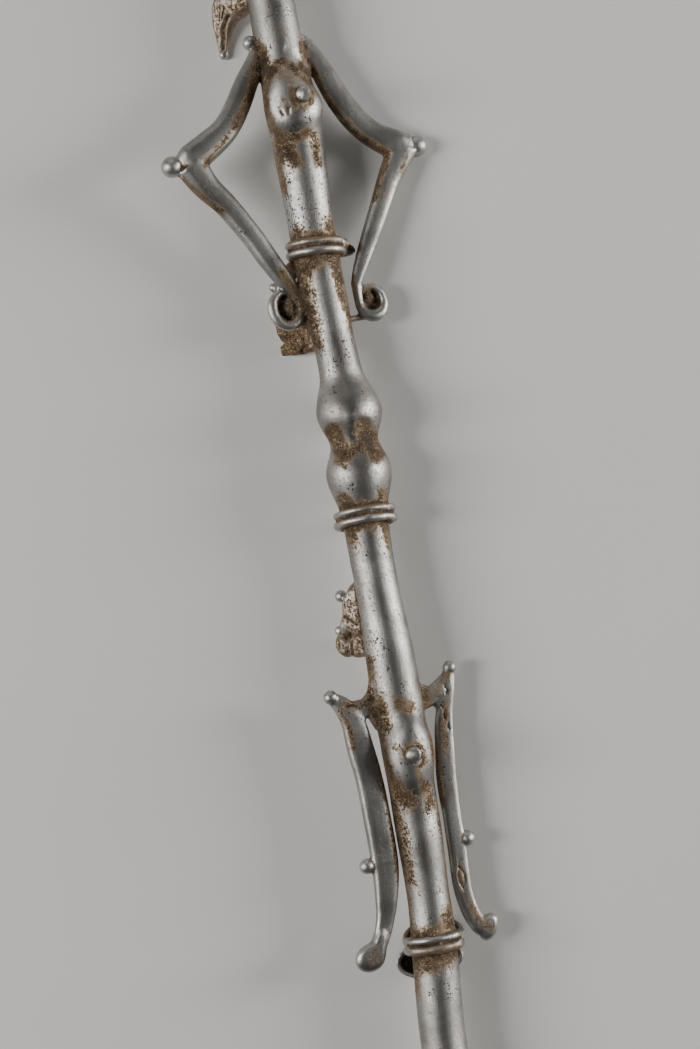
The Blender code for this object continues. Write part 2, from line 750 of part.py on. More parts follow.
def make_members(collection):
    make_rings(collection)
    make_navel("navel_high", NAVEL_HIGH_AT, NAVEL_HIGH_HALF_LENGTH, NAVEL_HIGH_STUD,
               collection)
    make_navel("navel_low", NAVEL_LOW_AT, NAVEL_LOW_HALF_LENGTH, NAVEL_LOW_STUD, collection)
    make_upper_arm("left_arm", -1, LEFT_UPPER_ARM, LEFT_FOREARM, SCROLL_LEFT,
                   (LEFT_ELBOW_OUT, LEFT_ELBOW_AT), LEFT_SHOULDER_STUD, collection)
    make_upper_arm("right_arm", 1, RIGHT_UPPER_ARM, RIGHT_FOREARM, SCROLL_RIGHT,
                   (RIGHT_ELBOW_OUT, RIGHT_ELBOW_AT), RIGHT_SHOULDER_STUD, collection)
    make_lower_arm("left_strap", LEFT_STRAP, LEFT_WEB, STRAP_SHOULDER_LEFT,
                   STRAP_STUD_LEFT, FOOT_LEFT, collection)
    make_lower_arm("right_strap", RIGHT_STRAP, RIGHT_WEB, STRAP_SHOULDER_RIGHT,
                   STRAP_STUD_RIGHT, FOOT_RIGHT, collection)
    make_lugs(collection)
    make_dish(collection)
    head = Vector((middle_line(HEAD_KNOB_AT), HEAD_KNOB_AT, 0.0))
    ball("head_knob", head, HEAD_KNOB_RADIUS, collection, facets=RING_FACETS)


def floor_cutter(collection):
    """Slab whose top is the level on which the staff rests."""
    bpy.ops.mesh.primitive_cube_add(size=1.0)
    cube = bpy.context.object
    mesh = cube.data
    bpy.data.objects.remove(cube, do_unlink=True)
    size = Matrix.Diagonal((SLAB_WIDTH, 2.0 * LENGTH, SLAB_THICKNESS, 1.0))
    middle = Matrix.Translation((0.0, 0.5 * LENGTH, -REST_DEPTH - 0.5 * SLAB_THICKNESS))
    mesh.transform(middle @ size)
    return add_mesh("floor_level", mesh, collection)


def fuse(shaft, members, cutters):
    """One closed casting: everything joined to the shaft, then flattened where it rests."""
    join = shaft.modifiers.new("cast together", "BOOLEAN")
    join.operation = "UNION"
    join.solver = "EXACT"
    join.operand_type = "COLLECTION"
    join.collection = members
    join.use_self = True
    rest = shaft.modifiers.new("resting spots", "BOOLEAN")
    rest.operation = "DIFFERENCE"
    rest.solver = "EXACT"
    rest.object = floor_cutter(cutters)
    return evaluated_mesh(shaft)


def set_down(mesh):
    """Middle of the box at the origin, resting spots at height zero."""
    xs = [v.co.x for v in mesh.vertices]
    ys = [v.co.y for v in mesh.vertices]
    zs = [v.co.z for v in mesh.vertices]
    middle = ((min(xs) + max(xs)) / 2, (min(ys) + max(ys)) / 2, min(zs))
    mesh.transform(Matrix.Translation([-value for value in middle]))


def make_staff():
    clear_scene()
    finished = new_collection("ceremonial staff")
    members = new_collection("members")
    cutters = new_collection("cutters")
    shaft = make_shaft(cutters)
    make_members(members)
    mesh = fuse(shaft, members, cutters)
    for piece in list(members.objects) + list(cutters.objects):
        bpy.data.objects.remove(piece, do_unlink=True)
    one_skin(mesh)
    weld(mesh)
    set_down(mesh)
    mesh.name = "staff"
    mesh.materials.clear()
    mesh.materials.append(iron())
    mesh.shade_smooth()
    mesh.set_sharp_from_angle(angle=SHARP_ANGLE)
    staff = bpy.data.objects.new("staff", mesh)
    finished.objects.link(staff)


make_staff()
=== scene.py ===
"""Worn iron staff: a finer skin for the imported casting, its finish, and a plain studio.

Heights run up the shaft from its foot, and "out" is the distance from the shaft's middle
line to the figure's side. Work is done with the shaft's middle line along Y, and the
finished skin is then set down where the CAD staff lies.
"""

import json
import math
import random

import bmesh
import bpy
import numpy as np
from bpy.props import FloatProperty, FloatVectorProperty, IntProperty, PointerProperty
from bpy.types import Operator, Panel, PropertyGroup
from mathutils import Matrix, Vector, noise

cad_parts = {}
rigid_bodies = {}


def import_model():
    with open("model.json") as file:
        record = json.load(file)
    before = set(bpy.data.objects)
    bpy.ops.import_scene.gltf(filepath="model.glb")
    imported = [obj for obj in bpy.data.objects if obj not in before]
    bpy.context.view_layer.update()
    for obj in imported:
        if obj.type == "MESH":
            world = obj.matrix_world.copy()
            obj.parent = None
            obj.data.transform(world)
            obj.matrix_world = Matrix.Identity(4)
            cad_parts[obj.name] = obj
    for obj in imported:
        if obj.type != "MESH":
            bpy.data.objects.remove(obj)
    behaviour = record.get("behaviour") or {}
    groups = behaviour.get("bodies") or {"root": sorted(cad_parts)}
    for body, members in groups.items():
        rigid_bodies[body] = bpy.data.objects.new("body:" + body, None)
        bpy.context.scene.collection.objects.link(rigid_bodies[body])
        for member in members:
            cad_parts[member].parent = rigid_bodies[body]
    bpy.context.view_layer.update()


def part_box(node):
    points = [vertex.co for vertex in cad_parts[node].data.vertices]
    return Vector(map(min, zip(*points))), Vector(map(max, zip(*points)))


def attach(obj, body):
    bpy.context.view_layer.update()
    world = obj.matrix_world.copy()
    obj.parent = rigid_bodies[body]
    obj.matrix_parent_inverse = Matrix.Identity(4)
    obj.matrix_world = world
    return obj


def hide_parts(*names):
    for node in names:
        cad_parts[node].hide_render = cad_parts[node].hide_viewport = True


bl_info = {
    "name": "Ceremonial Staff",
    "version": (1, 0, 0),
    "blender": (4, 5, 0),
    "location": "3D View > Sidebar > Staff",
    "description": "Builds the worn iron skin of a ceremonial staff and a plain studio",
    "category": "Object",
}

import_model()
STAFF_LOW, STAFF_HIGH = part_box("staff")
STAFF_LENGTH = STAFF_HIGH.y - STAFF_LOW.y
MM = 0.001

# The front is worked as it is seen from the eye: side and height under it, and its distance
EYE = (-0.0031, 0.4860)
EYE_DISTANCE = 1.0

# Middle line of the shaft: height and shift to the right
BENDS = (
    (0.000, -0.0008),
    (0.260, 0.0000),
    (0.318, 0.0036),
    (0.430, 0.0043),
    (0.475, 0.0034),
    (0.530, 0.0041),
    (0.595, 0.0013),
    (0.655, 0.0012),
    (0.700, 0.0000),
    (0.900, -0.0012),
)

# Swellings and necks of the shaft: height, reach to the head, reach to the foot, rise
FOOT_KNOB = (0.0420, 0.0240, 0.0200, 0.0035)
CALF = (0.3270, 0.0300, 0.0240, -0.0007)
HIP = (0.4125, 0.0450, 0.0450, 0.0009)
WAIST = (0.4640, 0.0300, 0.0400, -0.0005)
KNOB_LOWER = (0.5073, 0.0155, 0.0200, 0.0042)
KNOB_UPPER = (0.5328, 0.0180, 0.0150, 0.0042)
NECK = (0.5620, 0.0260, 0.0260, -0.0009)
CHEST = (0.6600, 0.0550, 0.0500, 0.0013)
HEAD_SWELL = (STAFF_LENGTH - 0.0620, 0.0200, 0.0240, 0.0038)
SWELLINGS = (FOOT_KNOB, CALF, HIP, WAIST, KNOB_LOWER, KNOB_UPPER, NECK, CHEST, HEAD_SWELL)

# Double strand rings: height, tilt of the front to the head, slant of the right side,
# shift to the right, extra radius
RING_FOOT = (0.0850, 0.0, 0.0, 0.0000, 0.0000)
RING_LOW = (0.3053, 3.5, 0.0, 0.0000, 0.0000)
RING_MIDDLE = (0.4881, 7.0, 0.5, 0.0000, 0.0005)
RING_HIGH = (0.6040, 1.5, -2.5, 0.0003, -0.0001)
RING_HEAD = (STAFF_LENGTH - 0.1050, 0.0, 0.0, 0.0000, 0.0000)
RINGS = (RING_FOOT, RING_LOW, RING_MIDDLE, RING_HIGH, RING_HEAD)

# Loose strand that crosses the low ring
LOOSE_STRAND_TILT = -24.0
LOOSE_STRAND_RISE = 0.0024

# Free strand end that stands off behind the high ring: outline of (out, height)
FREE_END = (
    (0.0100, 0.6058), (0.0158, 0.6048), (0.0174, 0.6034), (0.0183, 0.6016),
    (0.0178, 0.6004), (0.0152, 0.5993), (0.0100, 0.6001),
)

FREE_END_HALF_DEPTH = 0.0013
FREE_END_ROUNDING = 0.4
FREE_END_BACK = 0.0042

# A strand's unevenness: how far it strays, and the share by which it swells
STRAND_STRAY = 0.00020
STRAND_SWELL = 0.16

# Blobs of metal that bridge the strands of the rings: side, height, forward and radius
BRIDGES = (
    (0.0098, 0.4886, 0.0068, 0.0014),
    (0.0126, 0.6040, 0.0015, 0.0023),
)

# Navels: outlines of (side, height) as seen from the front, and the place of the stud
NAVEL_HIGH = (
    (0.0006, 0.6850), (0.0031, 0.6824), (0.0055, 0.6790), (0.0079, 0.6760),
    (0.0106, 0.6730), (0.0135, 0.6700), (0.0150, 0.6650), (0.0146, 0.6590),
    (0.0110, 0.6540), (0.0054, 0.6520), (0.0002, 0.6513), (-0.0050, 0.6520),
    (-0.0095, 0.6545), (-0.0122, 0.6590), (-0.0126, 0.6650), (-0.0118, 0.6705),
    (-0.0092, 0.6755), (-0.0070, 0.6790), (-0.0048, 0.6825), (-0.0022, 0.6845),
)
NAVEL_LOW = (
    (0.0050, 0.4049), (0.0089, 0.4025), (0.0116, 0.3978), (0.0138, 0.3919),
    (0.0146, 0.3853), (0.0134, 0.3791), (0.0104, 0.3735), (0.0065, 0.3685),
    (0.0018, 0.3650), (-0.0020, 0.3650), (-0.0055, 0.3677), (-0.0084, 0.3725),
    (-0.0108, 0.3784), (-0.0114, 0.3850), (-0.0102, 0.3913), (-0.0070, 0.3965),
    (-0.0036, 0.4011), (0.0006, 0.4043),
)
STUD_HIGH = (0.0040, 0.6670)
STUD_LOW = (0.0018, 0.3869)

# A navel's swelling ends this far from the middle line, fades out between these places in
# front of it, and changes from its brow's slope to its tail's between these shares
NAVEL_REACH = 0.0165
NAVEL_FADE = (-0.0060, 0.0040)
NAVEL_SLOPE_CHANGE = (0.15, 0.95)

# The front's hollows and ridges, in millimetres: half width, depth, and the line of
# (side, height) that they follow; a ridge has a depth below zero
HOLLOWS = (
    (4.6, 1.0, ((-9.0, 526.0), (-7.2, 521.0), (-4.6, 516.6))),
    (4.8, 1.0, ((5.4, 526.4), (6.8, 520.6), (8.4, 514.6))),
    (4.2, -0.35, ((0.4, 531.0), (-0.6, 526.5), (-1.6, 521.5))),
    (2.2, 0.5, ((7.7, 516.1), (7.4, 514.8))),
    (1.6, 0.4, ((-5.6, 511.2), (-5.2, 510.6))),
    (3.0, 0.4, ((3.5, 689.5), (9.0, 683.5))),
    (2.6, 0.35, ((-7.5, 692.0), (-8.6, 684.0))),
    (1.2, 0.45, ((-1.6, 662.8), (-1.2, 665.0))),
    (1.1, 0.4, ((-4.6, 664.0), (-4.2, 662.6))),
)
GROOVES = (
    # Chest lug's crack and notch
    (0.75, 0.7, ((-14.3, 570.4), (-12.8, 567.5), (-12.7, 564.0), (-14.3, 562.6),
                 (-14.1, 560.9))),
    (0.7, 0.5, ((-21.8, 569.3), (-18.6, 568.6), (-16.0, 569.4))),
    # Thigh lug's grooves and pit
    (0.8, 0.7, ((-16.6, 447.9), (-15.3, 447.1), (-13.4, 445.2), (-11.6, 443.4))),
    (0.8, 0.9, ((-15.0, 437.1), (-15.6, 434.0), (-15.6, 431.1))),
    (1.3, 0.8, ((-15.1, 440.0), (-15.1, 439.4))),
    # Head lug's striations and trough
    (0.55, 0.35, ((-24.4, 713.5), (-25.0, 702.6))),
    (0.55, 0.35, ((-23.1, 713.5), (-24.4, 703.4))),
    (0.55, 0.35, ((-21.8, 713.0), (-23.7, 704.6))),
    (0.55, 0.35, ((-20.1, 712.0), (-22.4, 706.0))),
    (1.5, 1.0, ((-19.2, 707.6), (-21.2, 704.6), (-22.5, 701.6), (-22.7, 697.9),
                (-23.8, 694.6))),
    # Split leaf on the right strap
    (0.55, 0.45, ((14.9, 334.6), (13.9, 331.6), (14.0, 328.6), (15.3, 325.6))),
    (0.55, 0.45, ((14.9, 334.6), (16.5, 331.4), (16.5, 328.4), (15.3, 325.6))),
)

# Eaten cracks that look like worm marks, in millimetres, in the same way
CRACKS = (
    (0.55, 0.50, ((20.9, 412.0), (21.6, 409.8), (21.0, 408.4))),
    (0.60, 0.50, ((19.4, 401.5), (18.4, 399.7), (18.9, 398.0))),
    (0.45, 0.40, ((17.6, 403.6), (18.6, 402.4))),
    (0.45, 0.40, ((19.8, 396.0), (19.2, 394.4), (20.0, 393.2))),
    (0.50, 0.40, ((-21.8, 409.6), (-19.0, 410.2), (-17.4, 409.2))),
    (0.50, 0.40, ((-15.8, 408.6), (-13.8, 409.4))),
    (0.40, 0.30, ((-23.6, 406.4), (-22.8, 404.6))),
)

# Brown residue, and painted shade on the high navel's brow, in millimetres: half width, strength,
# and the line of (side, height)
RESIDUE_AND_SHADE = (
    # Shoulders and the high navel
    (3.2, 1.00, ((-8.6, 692.0), (-7.9, 686.0), (-8.6, 679.0))),
    (2.0, 0.80, ((-10.2, 677.0), (-10.4, 668.0), (-10.0, 658.0))),
    (1.8, 1.00, ((-8.6, 677.6), (-5.3, 681.2), (-2.6, 683.8), (0.6, 685.0), (3.1, 682.4))),
    (1.4, 0.85, ((3.1, 682.4), (5.5, 679.0), (7.9, 676.0))),
    (2.2, 0.95, ((7.3, 681.7), (9.0, 678.0), (9.8, 674.5))),
    (2.2, 0.80, ((9.6, 691.0), (10.2, 684.5))),
    (1.3, 0.85, ((1.6, 672.6), (0.6, 668.4), (1.8, 665.0), (5.4, 663.8), (8.8, 665.8),
                 (9.8, 669.6))),
    (1.6, 0.55, ((-3.6, 670.0), (-1.6, 667.0))),
    # Painted shade: a weak, broad brown film on the high navel's steep brow, under its arch
    (3.4, 0.50, ((-1.6, 679.5), (1.2, 680.5), (2.8, 677.0))),
    (2.0, 1.00, ((-9.0, 657.0), (-7.3, 654.4), (-2.6, 652.2), (1.7, 652.2), (5.0, 653.4))),
    (3.0, 1.00, ((-4.8, 650.4), (-3.4, 646.0), (-2.2, 642.0))),
    (1.8, 0.90, ((-7.9, 654.4), (-7.7, 647.9), (-8.0, 643.6))),
    (2.0, 0.62, ((7.2, 651.9), (7.4, 645.4), (7.2, 639.0))),
    (1.5, 0.70, ((-9.2, 652.0), (-9.0, 630.0))),
    # High ring and the waist above the hips
    (1.8, 0.85, ((-10.0, 609.4), (0.0, 609.6), (10.0, 608.4))),
    (2.6, 0.75, ((-5.6, 612.6), (-3.6, 611.4))),
    (2.6, 0.80, ((7.4, 615.0), (8.2, 611.0))),
    (2.2, 0.95, ((-9.6, 599.6), (0.0, 600.0), (9.6, 599.6))),
    (3.4, 0.95, ((-7.2, 598.0), (-5.4, 594.0))),
    (2.8, 0.90, ((-7.8, 593.0), (-7.6, 576.0), (-7.6, 563.6))),
    (2.2, 0.60, ((-5.2, 588.0), (-5.0, 570.0))),
    (2.2, 0.80, ((7.4, 597.0), (7.2, 586.0), (8.2, 578.0))),
    (1.3, 0.70, ((8.6, 580.0), (8.6, 566.0))),
    # Hollows between the knobs
    (4.0, 1.00, ((-8.4, 525.4), (-6.6, 520.6), (-4.2, 516.8))),
    (4.2, 0.95, ((4.4, 525.4), (6.6, 520.6), (8.6, 514.4))),
    (2.6, 0.85, ((-3.6, 517.4), (1.0, 517.6), (5.0, 518.4))),
    (2.0, 0.70, ((-8.4, 513.4), (-5.4, 512.2))),
    # Middle ring
    (2.8, 0.95, ((-8.2, 497.6), (-6.4, 495.4))),
    (1.6, 0.85, ((-9.6, 493.4), (0.0, 493.6), (9.8, 493.0))),
    (2.2, 0.80, ((8.8, 497.4), (8.8, 493.6))),
    (1.5, 0.85, ((-9.8, 484.2), (0.0, 484.6), (9.8, 484.2))),
    (2.8, 0.85, ((-7.4, 484.0), (-6.8, 480.0))),
    (2.0, 0.70, ((8.0, 484.0), (8.2, 475.0))),
    # Left side of the hips, down to the low ring
    (2.4, 0.90, ((-12.6, 417.0), (-11.0, 408.0), (-9.8, 399.0))),
    (2.6, 0.85, ((-9.6, 421.0), (-9.6, 428.0))),
    (3.0, 0.80, ((-7.8, 410.0), (-6.8, 399.0))),
    (2.8, 1.00, ((-10.0, 396.0), (-9.8, 376.0), (-9.4, 366.0))),
    (3.4, 1.00, ((-7.4, 373.8), (-5.2, 369.1), (-1.5, 365.5))),
    (2.4, 0.90, ((-9.6, 364.0), (-9.6, 346.0), (-10.0, 326.0), (-10.2, 310.0))),
    (2.2, 0.55, ((-6.6, 360.0), (-6.6, 330.0))),
    # The low navel
    (2.8, 0.80, ((0.4, 407.0), (4.6, 405.6))),
    (1.3, 0.68, ((-0.4, 386.0), (1.0, 389.6), (4.6, 389.6), (7.6, 386.8), (7.2, 381.0),
                 (3.6, 379.6))),
    (1.8, 0.55, ((4.0, 379.4), (4.6, 374.0))),
    (2.4, 0.80, ((5.6, 371.6), (6.1, 367.2), (6.7, 362.8))),
    (1.6, 0.45, ((-4.8, 389.6), (-1.6, 387.4))),
    (1.8, 0.90, ((12.8, 412.0), (12.4, 394.0), (12.3, 376.0), (11.4, 362.0))),
    (1.5, 0.60, ((10.2, 362.0), (9.9, 330.0), (9.8, 312.0))),
    # Low ring
    (2.2, 0.95, ((-10.2, 309.6), (-1.0, 310.0), (9.0, 311.0))),
    (2.6, 0.70, ((6.4, 314.0), (8.4, 318.0))),
    (2.4, 0.95, ((-9.4, 299.4), (0.0, 299.4), (9.4, 300.4))),
    (3.8, 0.85, ((-6.8, 296.6), (-1.6, 295.2), (5.4, 297.0))),
    (1.6, 0.55, ((-8.6, 294.0), (-8.8, 284.0))),
    # Arms
    (2.0, 0.85, ((-12.2, 684.0), (-15.6, 673.6), (-21.2, 666.0), (-25.0, 661.0))),
    (1.2, 0.60, ((-27.4, 658.4), (-34.2, 652.3), (-40.1, 647.8))),
    (1.6, 0.75, ((-50.6, 641.8), (-46.4, 636.0), (-40.8, 629.9), (-36.5, 625.8))),
    (1.3, 0.85, ((-39.4, 648.6), (-40.6, 646.4))),
    (2.1, 0.90, ((12.0, 680.0), (13.4, 670.2), (17.6, 661.2), (23.0, 652.0), (30.2, 644.2),
                 (36.8, 639.8))),
    (1.4, 0.80, ((36.8, 639.6), (35.6, 634.4), (32.2, 628.4), (28.3, 620.4))),
    (1.1, 0.60, ((44.8, 636.4), (41.6, 630.0))),
    (2.0, 0.80, ((-15.6, 596.0), (-12.6, 589.0))),
    (1.6, 0.75, ((13.0, 590.0), (12.6, 580.0))),
    # Hollows of the scrolls
    (3.2, 1.00, ((-16.6, 584.0), (-16.6, 578.0))),
    (2.2, 0.85, ((-12.8, 586.0), (-11.4, 578.0))),
    (2.6, 0.90, ((18.9, 582.0), (19.2, 577.8))),
    (1.4, 0.70, ((12.6, 577.0), (12.4, 571.0))),
    # Shoulders of the straps
    (2.2, 0.72, ((-22.4, 410.6), (-17.0, 409.6), (-12.8, 410.6))),
    (1.4, 0.60, ((-25.0, 408.8), (-22.4, 400.0), (-21.6, 392.0))),
    (1.6, 0.70, ((22.8, 416.6), (17.4, 410.2), (13.4, 409.0))),
    (1.6, 0.62, ((20.4, 405.0), (17.6, 395.0), (16.6, 385.0))),
    (1.2, 0.65, ((15.2, 335.0), (15.1, 325.0))),
    (1.8, 0.62, ((17.4, 318.0), (22.0, 309.0))),
    (2.0, 0.55, ((23.0, 310.0), (26.6, 306.0))),
    (2.2, 0.50, ((-26.6, 301.0), (-25.0, 305.0))),
    # Free strand end
    (2.4, 1.00, ((14.6, 602.5), (17.4, 602.0))),
)

# Lugs, which are brown with pale dust all over: lowest and highest, and how brown
DUSTY_LUGS = (
    (0.5580, 0.6020, 0.95),
    (0.4270, 0.4640, 0.52),
    (0.6860, 0.7260, 0.50),
)

# Gritty floors of the scrolls and the free strand end, with painted shade on the scrolls' floors:
# side, height and reach
GRITTY_SPOTS = (
    (-0.0166, 0.5810, 0.0048),
    (0.0192, 0.5800, 0.0040),
    (0.0165, 0.6023, 0.0030),
)

# Clusters of pits, in millimetres: side, height, spread and number of pits
PITS = (
    (0.0, 705.0, 3.0, 5), (-4.3, 692.7, 1.6, 6), (-8.1, 686.9, 2.0, 10),
    (-1.4, 664.1, 1.4, 6), (-4.4, 663.7, 1.6, 9), (6.8, 659.3, 1.6, 6),
    (8.0, 651.7, 1.6, 8), (-3.7, 646.4, 2.2, 10), (-5.4, 641.0, 2.2, 9),
    (-7.0, 628.4, 2.0, 8), (-7.1, 619.8, 2.4, 16), (-7.3, 615.5, 2.0, 14),
    (3.3, 615.1, 2.0, 5), (-5.6, 587.2, 2.2, 9), (-5.6, 578.5, 2.2, 8),
    (-6.2, 569.9, 2.2, 10), (-6.0, 561.2, 2.0, 8), (-5.1, 551.5, 2.0, 6),
    (-4.6, 543.6, 1.8, 4), (2.8, 564.1, 1.6, 3), (0.2, 555.8, 2.4, 7),
    (4.4, 557.3, 1.6, 4), (7.5, 539.4, 1.4, 4), (0.0, 516.9, 2.4, 6),
    (7.2, 515.7, 1.4, 5), (-4.5, 500.5, 1.8, 5), (-8.2, 498.9, 1.4, 5),
    (6.0, 498.7, 1.8, 4), (-3.9, 466.0, 1.4, 2), (-2.3, 470.0, 1.4, 2),
    (-3.4, 452.9, 2.0, 3), (-4.9, 435.8, 2.4, 6), (-1.4, 431.0, 1.8, 4),
    (-5.5, 427.3, 2.0, 5), (-0.9, 421.4, 2.0, 4), (3.7, 412.9, 2.0, 4),
    (0.1, 409.2, 2.0, 5), (-2.0, 388.8, 1.2, 5), (-3.8, 388.3, 1.4, 6),
    (4.0, 393.4, 2.0, 5), (7.7, 369.1, 2.2, 14), (5.6, 360.9, 1.8, 7),
    (-7.7, 358.8, 1.8, 6), (5.5, 326.5, 1.4, 6), (4.9, 330.9, 1.4, 5),
    (-1.3, 314.8, 2.2, 6), (7.3, 306.9, 1.2, 3), (-3.2, 285.3, 2.0, 4),
    (3.6, 279.9, 2.0, 4), (18.1, 406.2, 1.8, 8), (21.4, 409.9, 1.6, 7),
    (18.4, 399.7, 1.6, 9), (17.5, 389.1, 1.6, 7), (-20.0, 410.4, 2.0, 8),
    (-14.4, 409.0, 1.8, 9), (-22.4, 402.0, 1.4, 7), (-24.6, 408.0, 1.4, 6),
    (-7.6, 405.0, 2.2, 12), (-7.0, 398.0, 2.2, 10), (-40.0, 632.0, 2.2, 6),
    (-30.0, 617.0, 2.0, 3), (-19.0, 600.5, 1.4, 2), (24.4, 308.0, 1.8, 6),
    (-1.0, 655.0, 3.0, 6), (-6.8, 635.0, 2.4, 8), (-17.5, 566.5, 2.4, 12),
    (-17.0, 435.0, 2.2, 9), (-13.0, 453.0, 2.0, 7),
)

# Squareness of the limbs' sections, where 2 is round
ARM_SQUARENESS = 2.8
STRAP_SQUARENESS = 3.6
HOOK_SQUARENESS = 3.2

# Arms: out, height and half width of each station
LEFT_UPPER_ARM = (
    (-0.0075, 0.6930, 0.0036),
    (-0.0117, 0.6852, 0.0044),
    (-0.0171, 0.6776, 0.0049),
    (-0.0234, 0.6675, 0.0053),
    (-0.0304, 0.6588, 0.0056),
    (-0.0391, 0.6527, 0.0063),
    (-0.0470, 0.6480, 0.0064),
    (-0.0510, 0.6462, 0.0046),
)
LEFT_FOREARM = (
    (-0.0472, 0.6458, 0.0068),
    (-0.0422, 0.6366, 0.0058),
    (-0.0346, 0.6268, 0.0049),
    (-0.0264, 0.6134, 0.0046),
    (-0.0208, 0.6025, 0.0044),
    (-0.0155, 0.5925, 0.0038),
    (-0.0115, 0.5860, 0.0026),
)
RIGHT_UPPER_ARM = (
    (0.0080, 0.6930, 0.0040),
    (0.0126, 0.6863, 0.0044),
    (0.0163, 0.6782, 0.0047),
    (0.0207, 0.6667, 0.0052),
    (0.0263, 0.6565, 0.0053),
    (0.0334, 0.6489, 0.0055),
    (0.0432, 0.6430, 0.0063),
    (0.0484, 0.6422, 0.0052),
)
RIGHT_FOREARM = (
    (0.0452, 0.6422, 0.0064),
    (0.0404, 0.6350, 0.0055),
    (0.0362, 0.6282, 0.0048),
    (0.0307, 0.6172, 0.0044),
    (0.0240, 0.6046, 0.0039),
    (0.0180, 0.5935, 0.0031),
    (0.0146, 0.5865, 0.0022),
)
LEFT_ELBOW = (-0.0552, 0.6462)
RIGHT_ELBOW = (0.0512, 0.6418)
LEFT_SHOULDER_STUD = (-0.0123, 0.6942, 0.0031)
RIGHT_SHOULDER_STUD = (0.0128, 0.6909, 0.0024)
ELBOW_JOINT_SHARE = 0.86

# Scroll hands: out, height and half sizes of the strand's line, and the strand's half width
# beside the shaft, at the bottom, outside and at the top
SCROLL_LEFT = (0.0169, 0.5805, 0.0061, 0.0073)
SCROLL_LEFT_STRAND = (0.0018, 0.0024, 0.0023, 0.0014)
SCROLL_RIGHT = (0.0198, 0.5787, 0.0055, 0.0063)
SCROLL_RIGHT_STRAND = (0.0019, 0.0027, 0.0016, 0.0015)

# Bosses in the scrolls' hollows: out, height and half sizes
BOSS_LEFT = (-0.0154, 0.5809, 0.0024, 0.0046, 0.0020)
BOSS_RIGHT = (0.0187, 0.5806, 0.0023, 0.0038, 0.0022)
BOSS_BACK = 0.0007
SCROLL_FLOOR_HALF_DEPTH = 0.0009

# Webs from the scrolls to the hips
HIP_WEB_SHORT = 0.0039
HIP_WEB_HALF_WIDTH = 0.0014
HIP_WEB_BACK = 0.0010

# Straps: out, height and half width of each station
LEFT_STRAP = (
    (-0.0270, 0.4140, 0.0030),
    (-0.0235, 0.4100, 0.0042),
    (-0.0205, 0.4030, 0.0050),
    (-0.0191, 0.3905, 0.0057),
    (-0.0176, 0.3775, 0.0057),
    (-0.0167, 0.3520, 0.0058),
    (-0.0168, 0.3390, 0.0056),
    (-0.0182, 0.3269, 0.0047),
    (-0.0202, 0.3178, 0.0037),
    (-0.0233, 0.3100, 0.0035),
    (-0.0275, 0.3045, 0.0040),
)
RIGHT_STRAP = (
    (0.0243, 0.4170, 0.0026),
    (0.0222, 0.4110, 0.0034),
    (0.0193, 0.4000, 0.0037),
    (0.0176, 0.3900, 0.0041),
    (0.0157, 0.3720, 0.0043),
    (0.0155, 0.3570, 0.0039),
    (0.0155, 0.3410, 0.0040),
    (0.0154, 0.3255, 0.0039),
    (0.0171, 0.3158, 0.0037),
    (0.0203, 0.3089, 0.0039),
    (0.0238, 0.3062, 0.0042),
)

# Webs between the straps and the shaft: outlines of (out, height)
LEFT_WEB = (
    (-0.0279, 0.4158), (-0.0243, 0.4134), (-0.0193, 0.4120), (-0.0150, 0.4122),
    (-0.0122, 0.4148), (-0.0106, 0.4200), (-0.0060, 0.4150), (-0.0060, 0.3960),
    (-0.0114, 0.3985), (-0.0138, 0.4042), (-0.0163, 0.4030), (-0.0190, 0.3990),
    (-0.0220, 0.4030), (-0.0258, 0.4100),
)
RIGHT_WEB = (
    (0.0236, 0.4200), (0.0214, 0.4170), (0.0182, 0.4146), (0.0144, 0.4125),
    (0.0100, 0.4150), (0.0060, 0.4100), (0.0060, 0.4010), (0.0114, 0.4030),
    (0.0151, 0.4041), (0.0168, 0.4020), (0.0180, 0.3960), (0.0208, 0.4010),
    (0.0229, 0.4055), (0.0257, 0.4171),
)
STRAP_SHOULDER_LEFT = (-0.0283, 0.4152, 0.0031)
STRAP_SHOULDER_RIGHT = (0.0248, 0.4190, 0.0029)
STRAP_STUD_LEFT = (-0.0244, 0.3422, 0.0034)
STRAP_STUD_RIGHT = (0.0205, 0.3459, 0.0034)

# Paddle feet of the straps: outlines of (out, height)
FOOT_LEFT = (
    (-0.0245, 0.3136), (-0.0262, 0.3110), (-0.0308, 0.3093), (-0.0337, 0.3071),
    (-0.0348, 0.3044), (-0.0345, 0.3018), (-0.0328, 0.2994), (-0.0296, 0.2979),
    (-0.0261, 0.2982), (-0.0233, 0.2998), (-0.0218, 0.3028), (-0.0206, 0.3080),
    (-0.0192, 0.3148), (-0.0215, 0.3173),
)
FOOT_RIGHT = (
    (0.0190, 0.3130), (0.0218, 0.3116), (0.0248, 0.3123), (0.0268, 0.3124),
    (0.0286, 0.3108), (0.0288, 0.3076), (0.0270, 0.3030), (0.0240, 0.3012),
    (0.0211, 0.3022), (0.0199, 0.3050), (0.0186, 0.3080),
)
PADDLE_ROUNDING = 0.45

# Lugs along the back, all leaning to the left: out, height and half width of each station
LUG_HEAD = (
    (0.0060, 0.7175, 0.0078),
    (0.0130, 0.7170, 0.0078),
    (0.0206, 0.7138, 0.0078),
    (0.0245, 0.7085, 0.0056),
    (0.0261, 0.7033, 0.0038),
    (0.0270, 0.6992, 0.0027),
    (0.0276, 0.6952, 0.0020),
)
LUG_CHEST_ARM = (
    (0.0060, 0.6010, 0.0034),
    (0.0140, 0.5965, 0.0036),
    (0.0200, 0.5890, 0.0040),
    (0.0205, 0.5810, 0.0055),
)

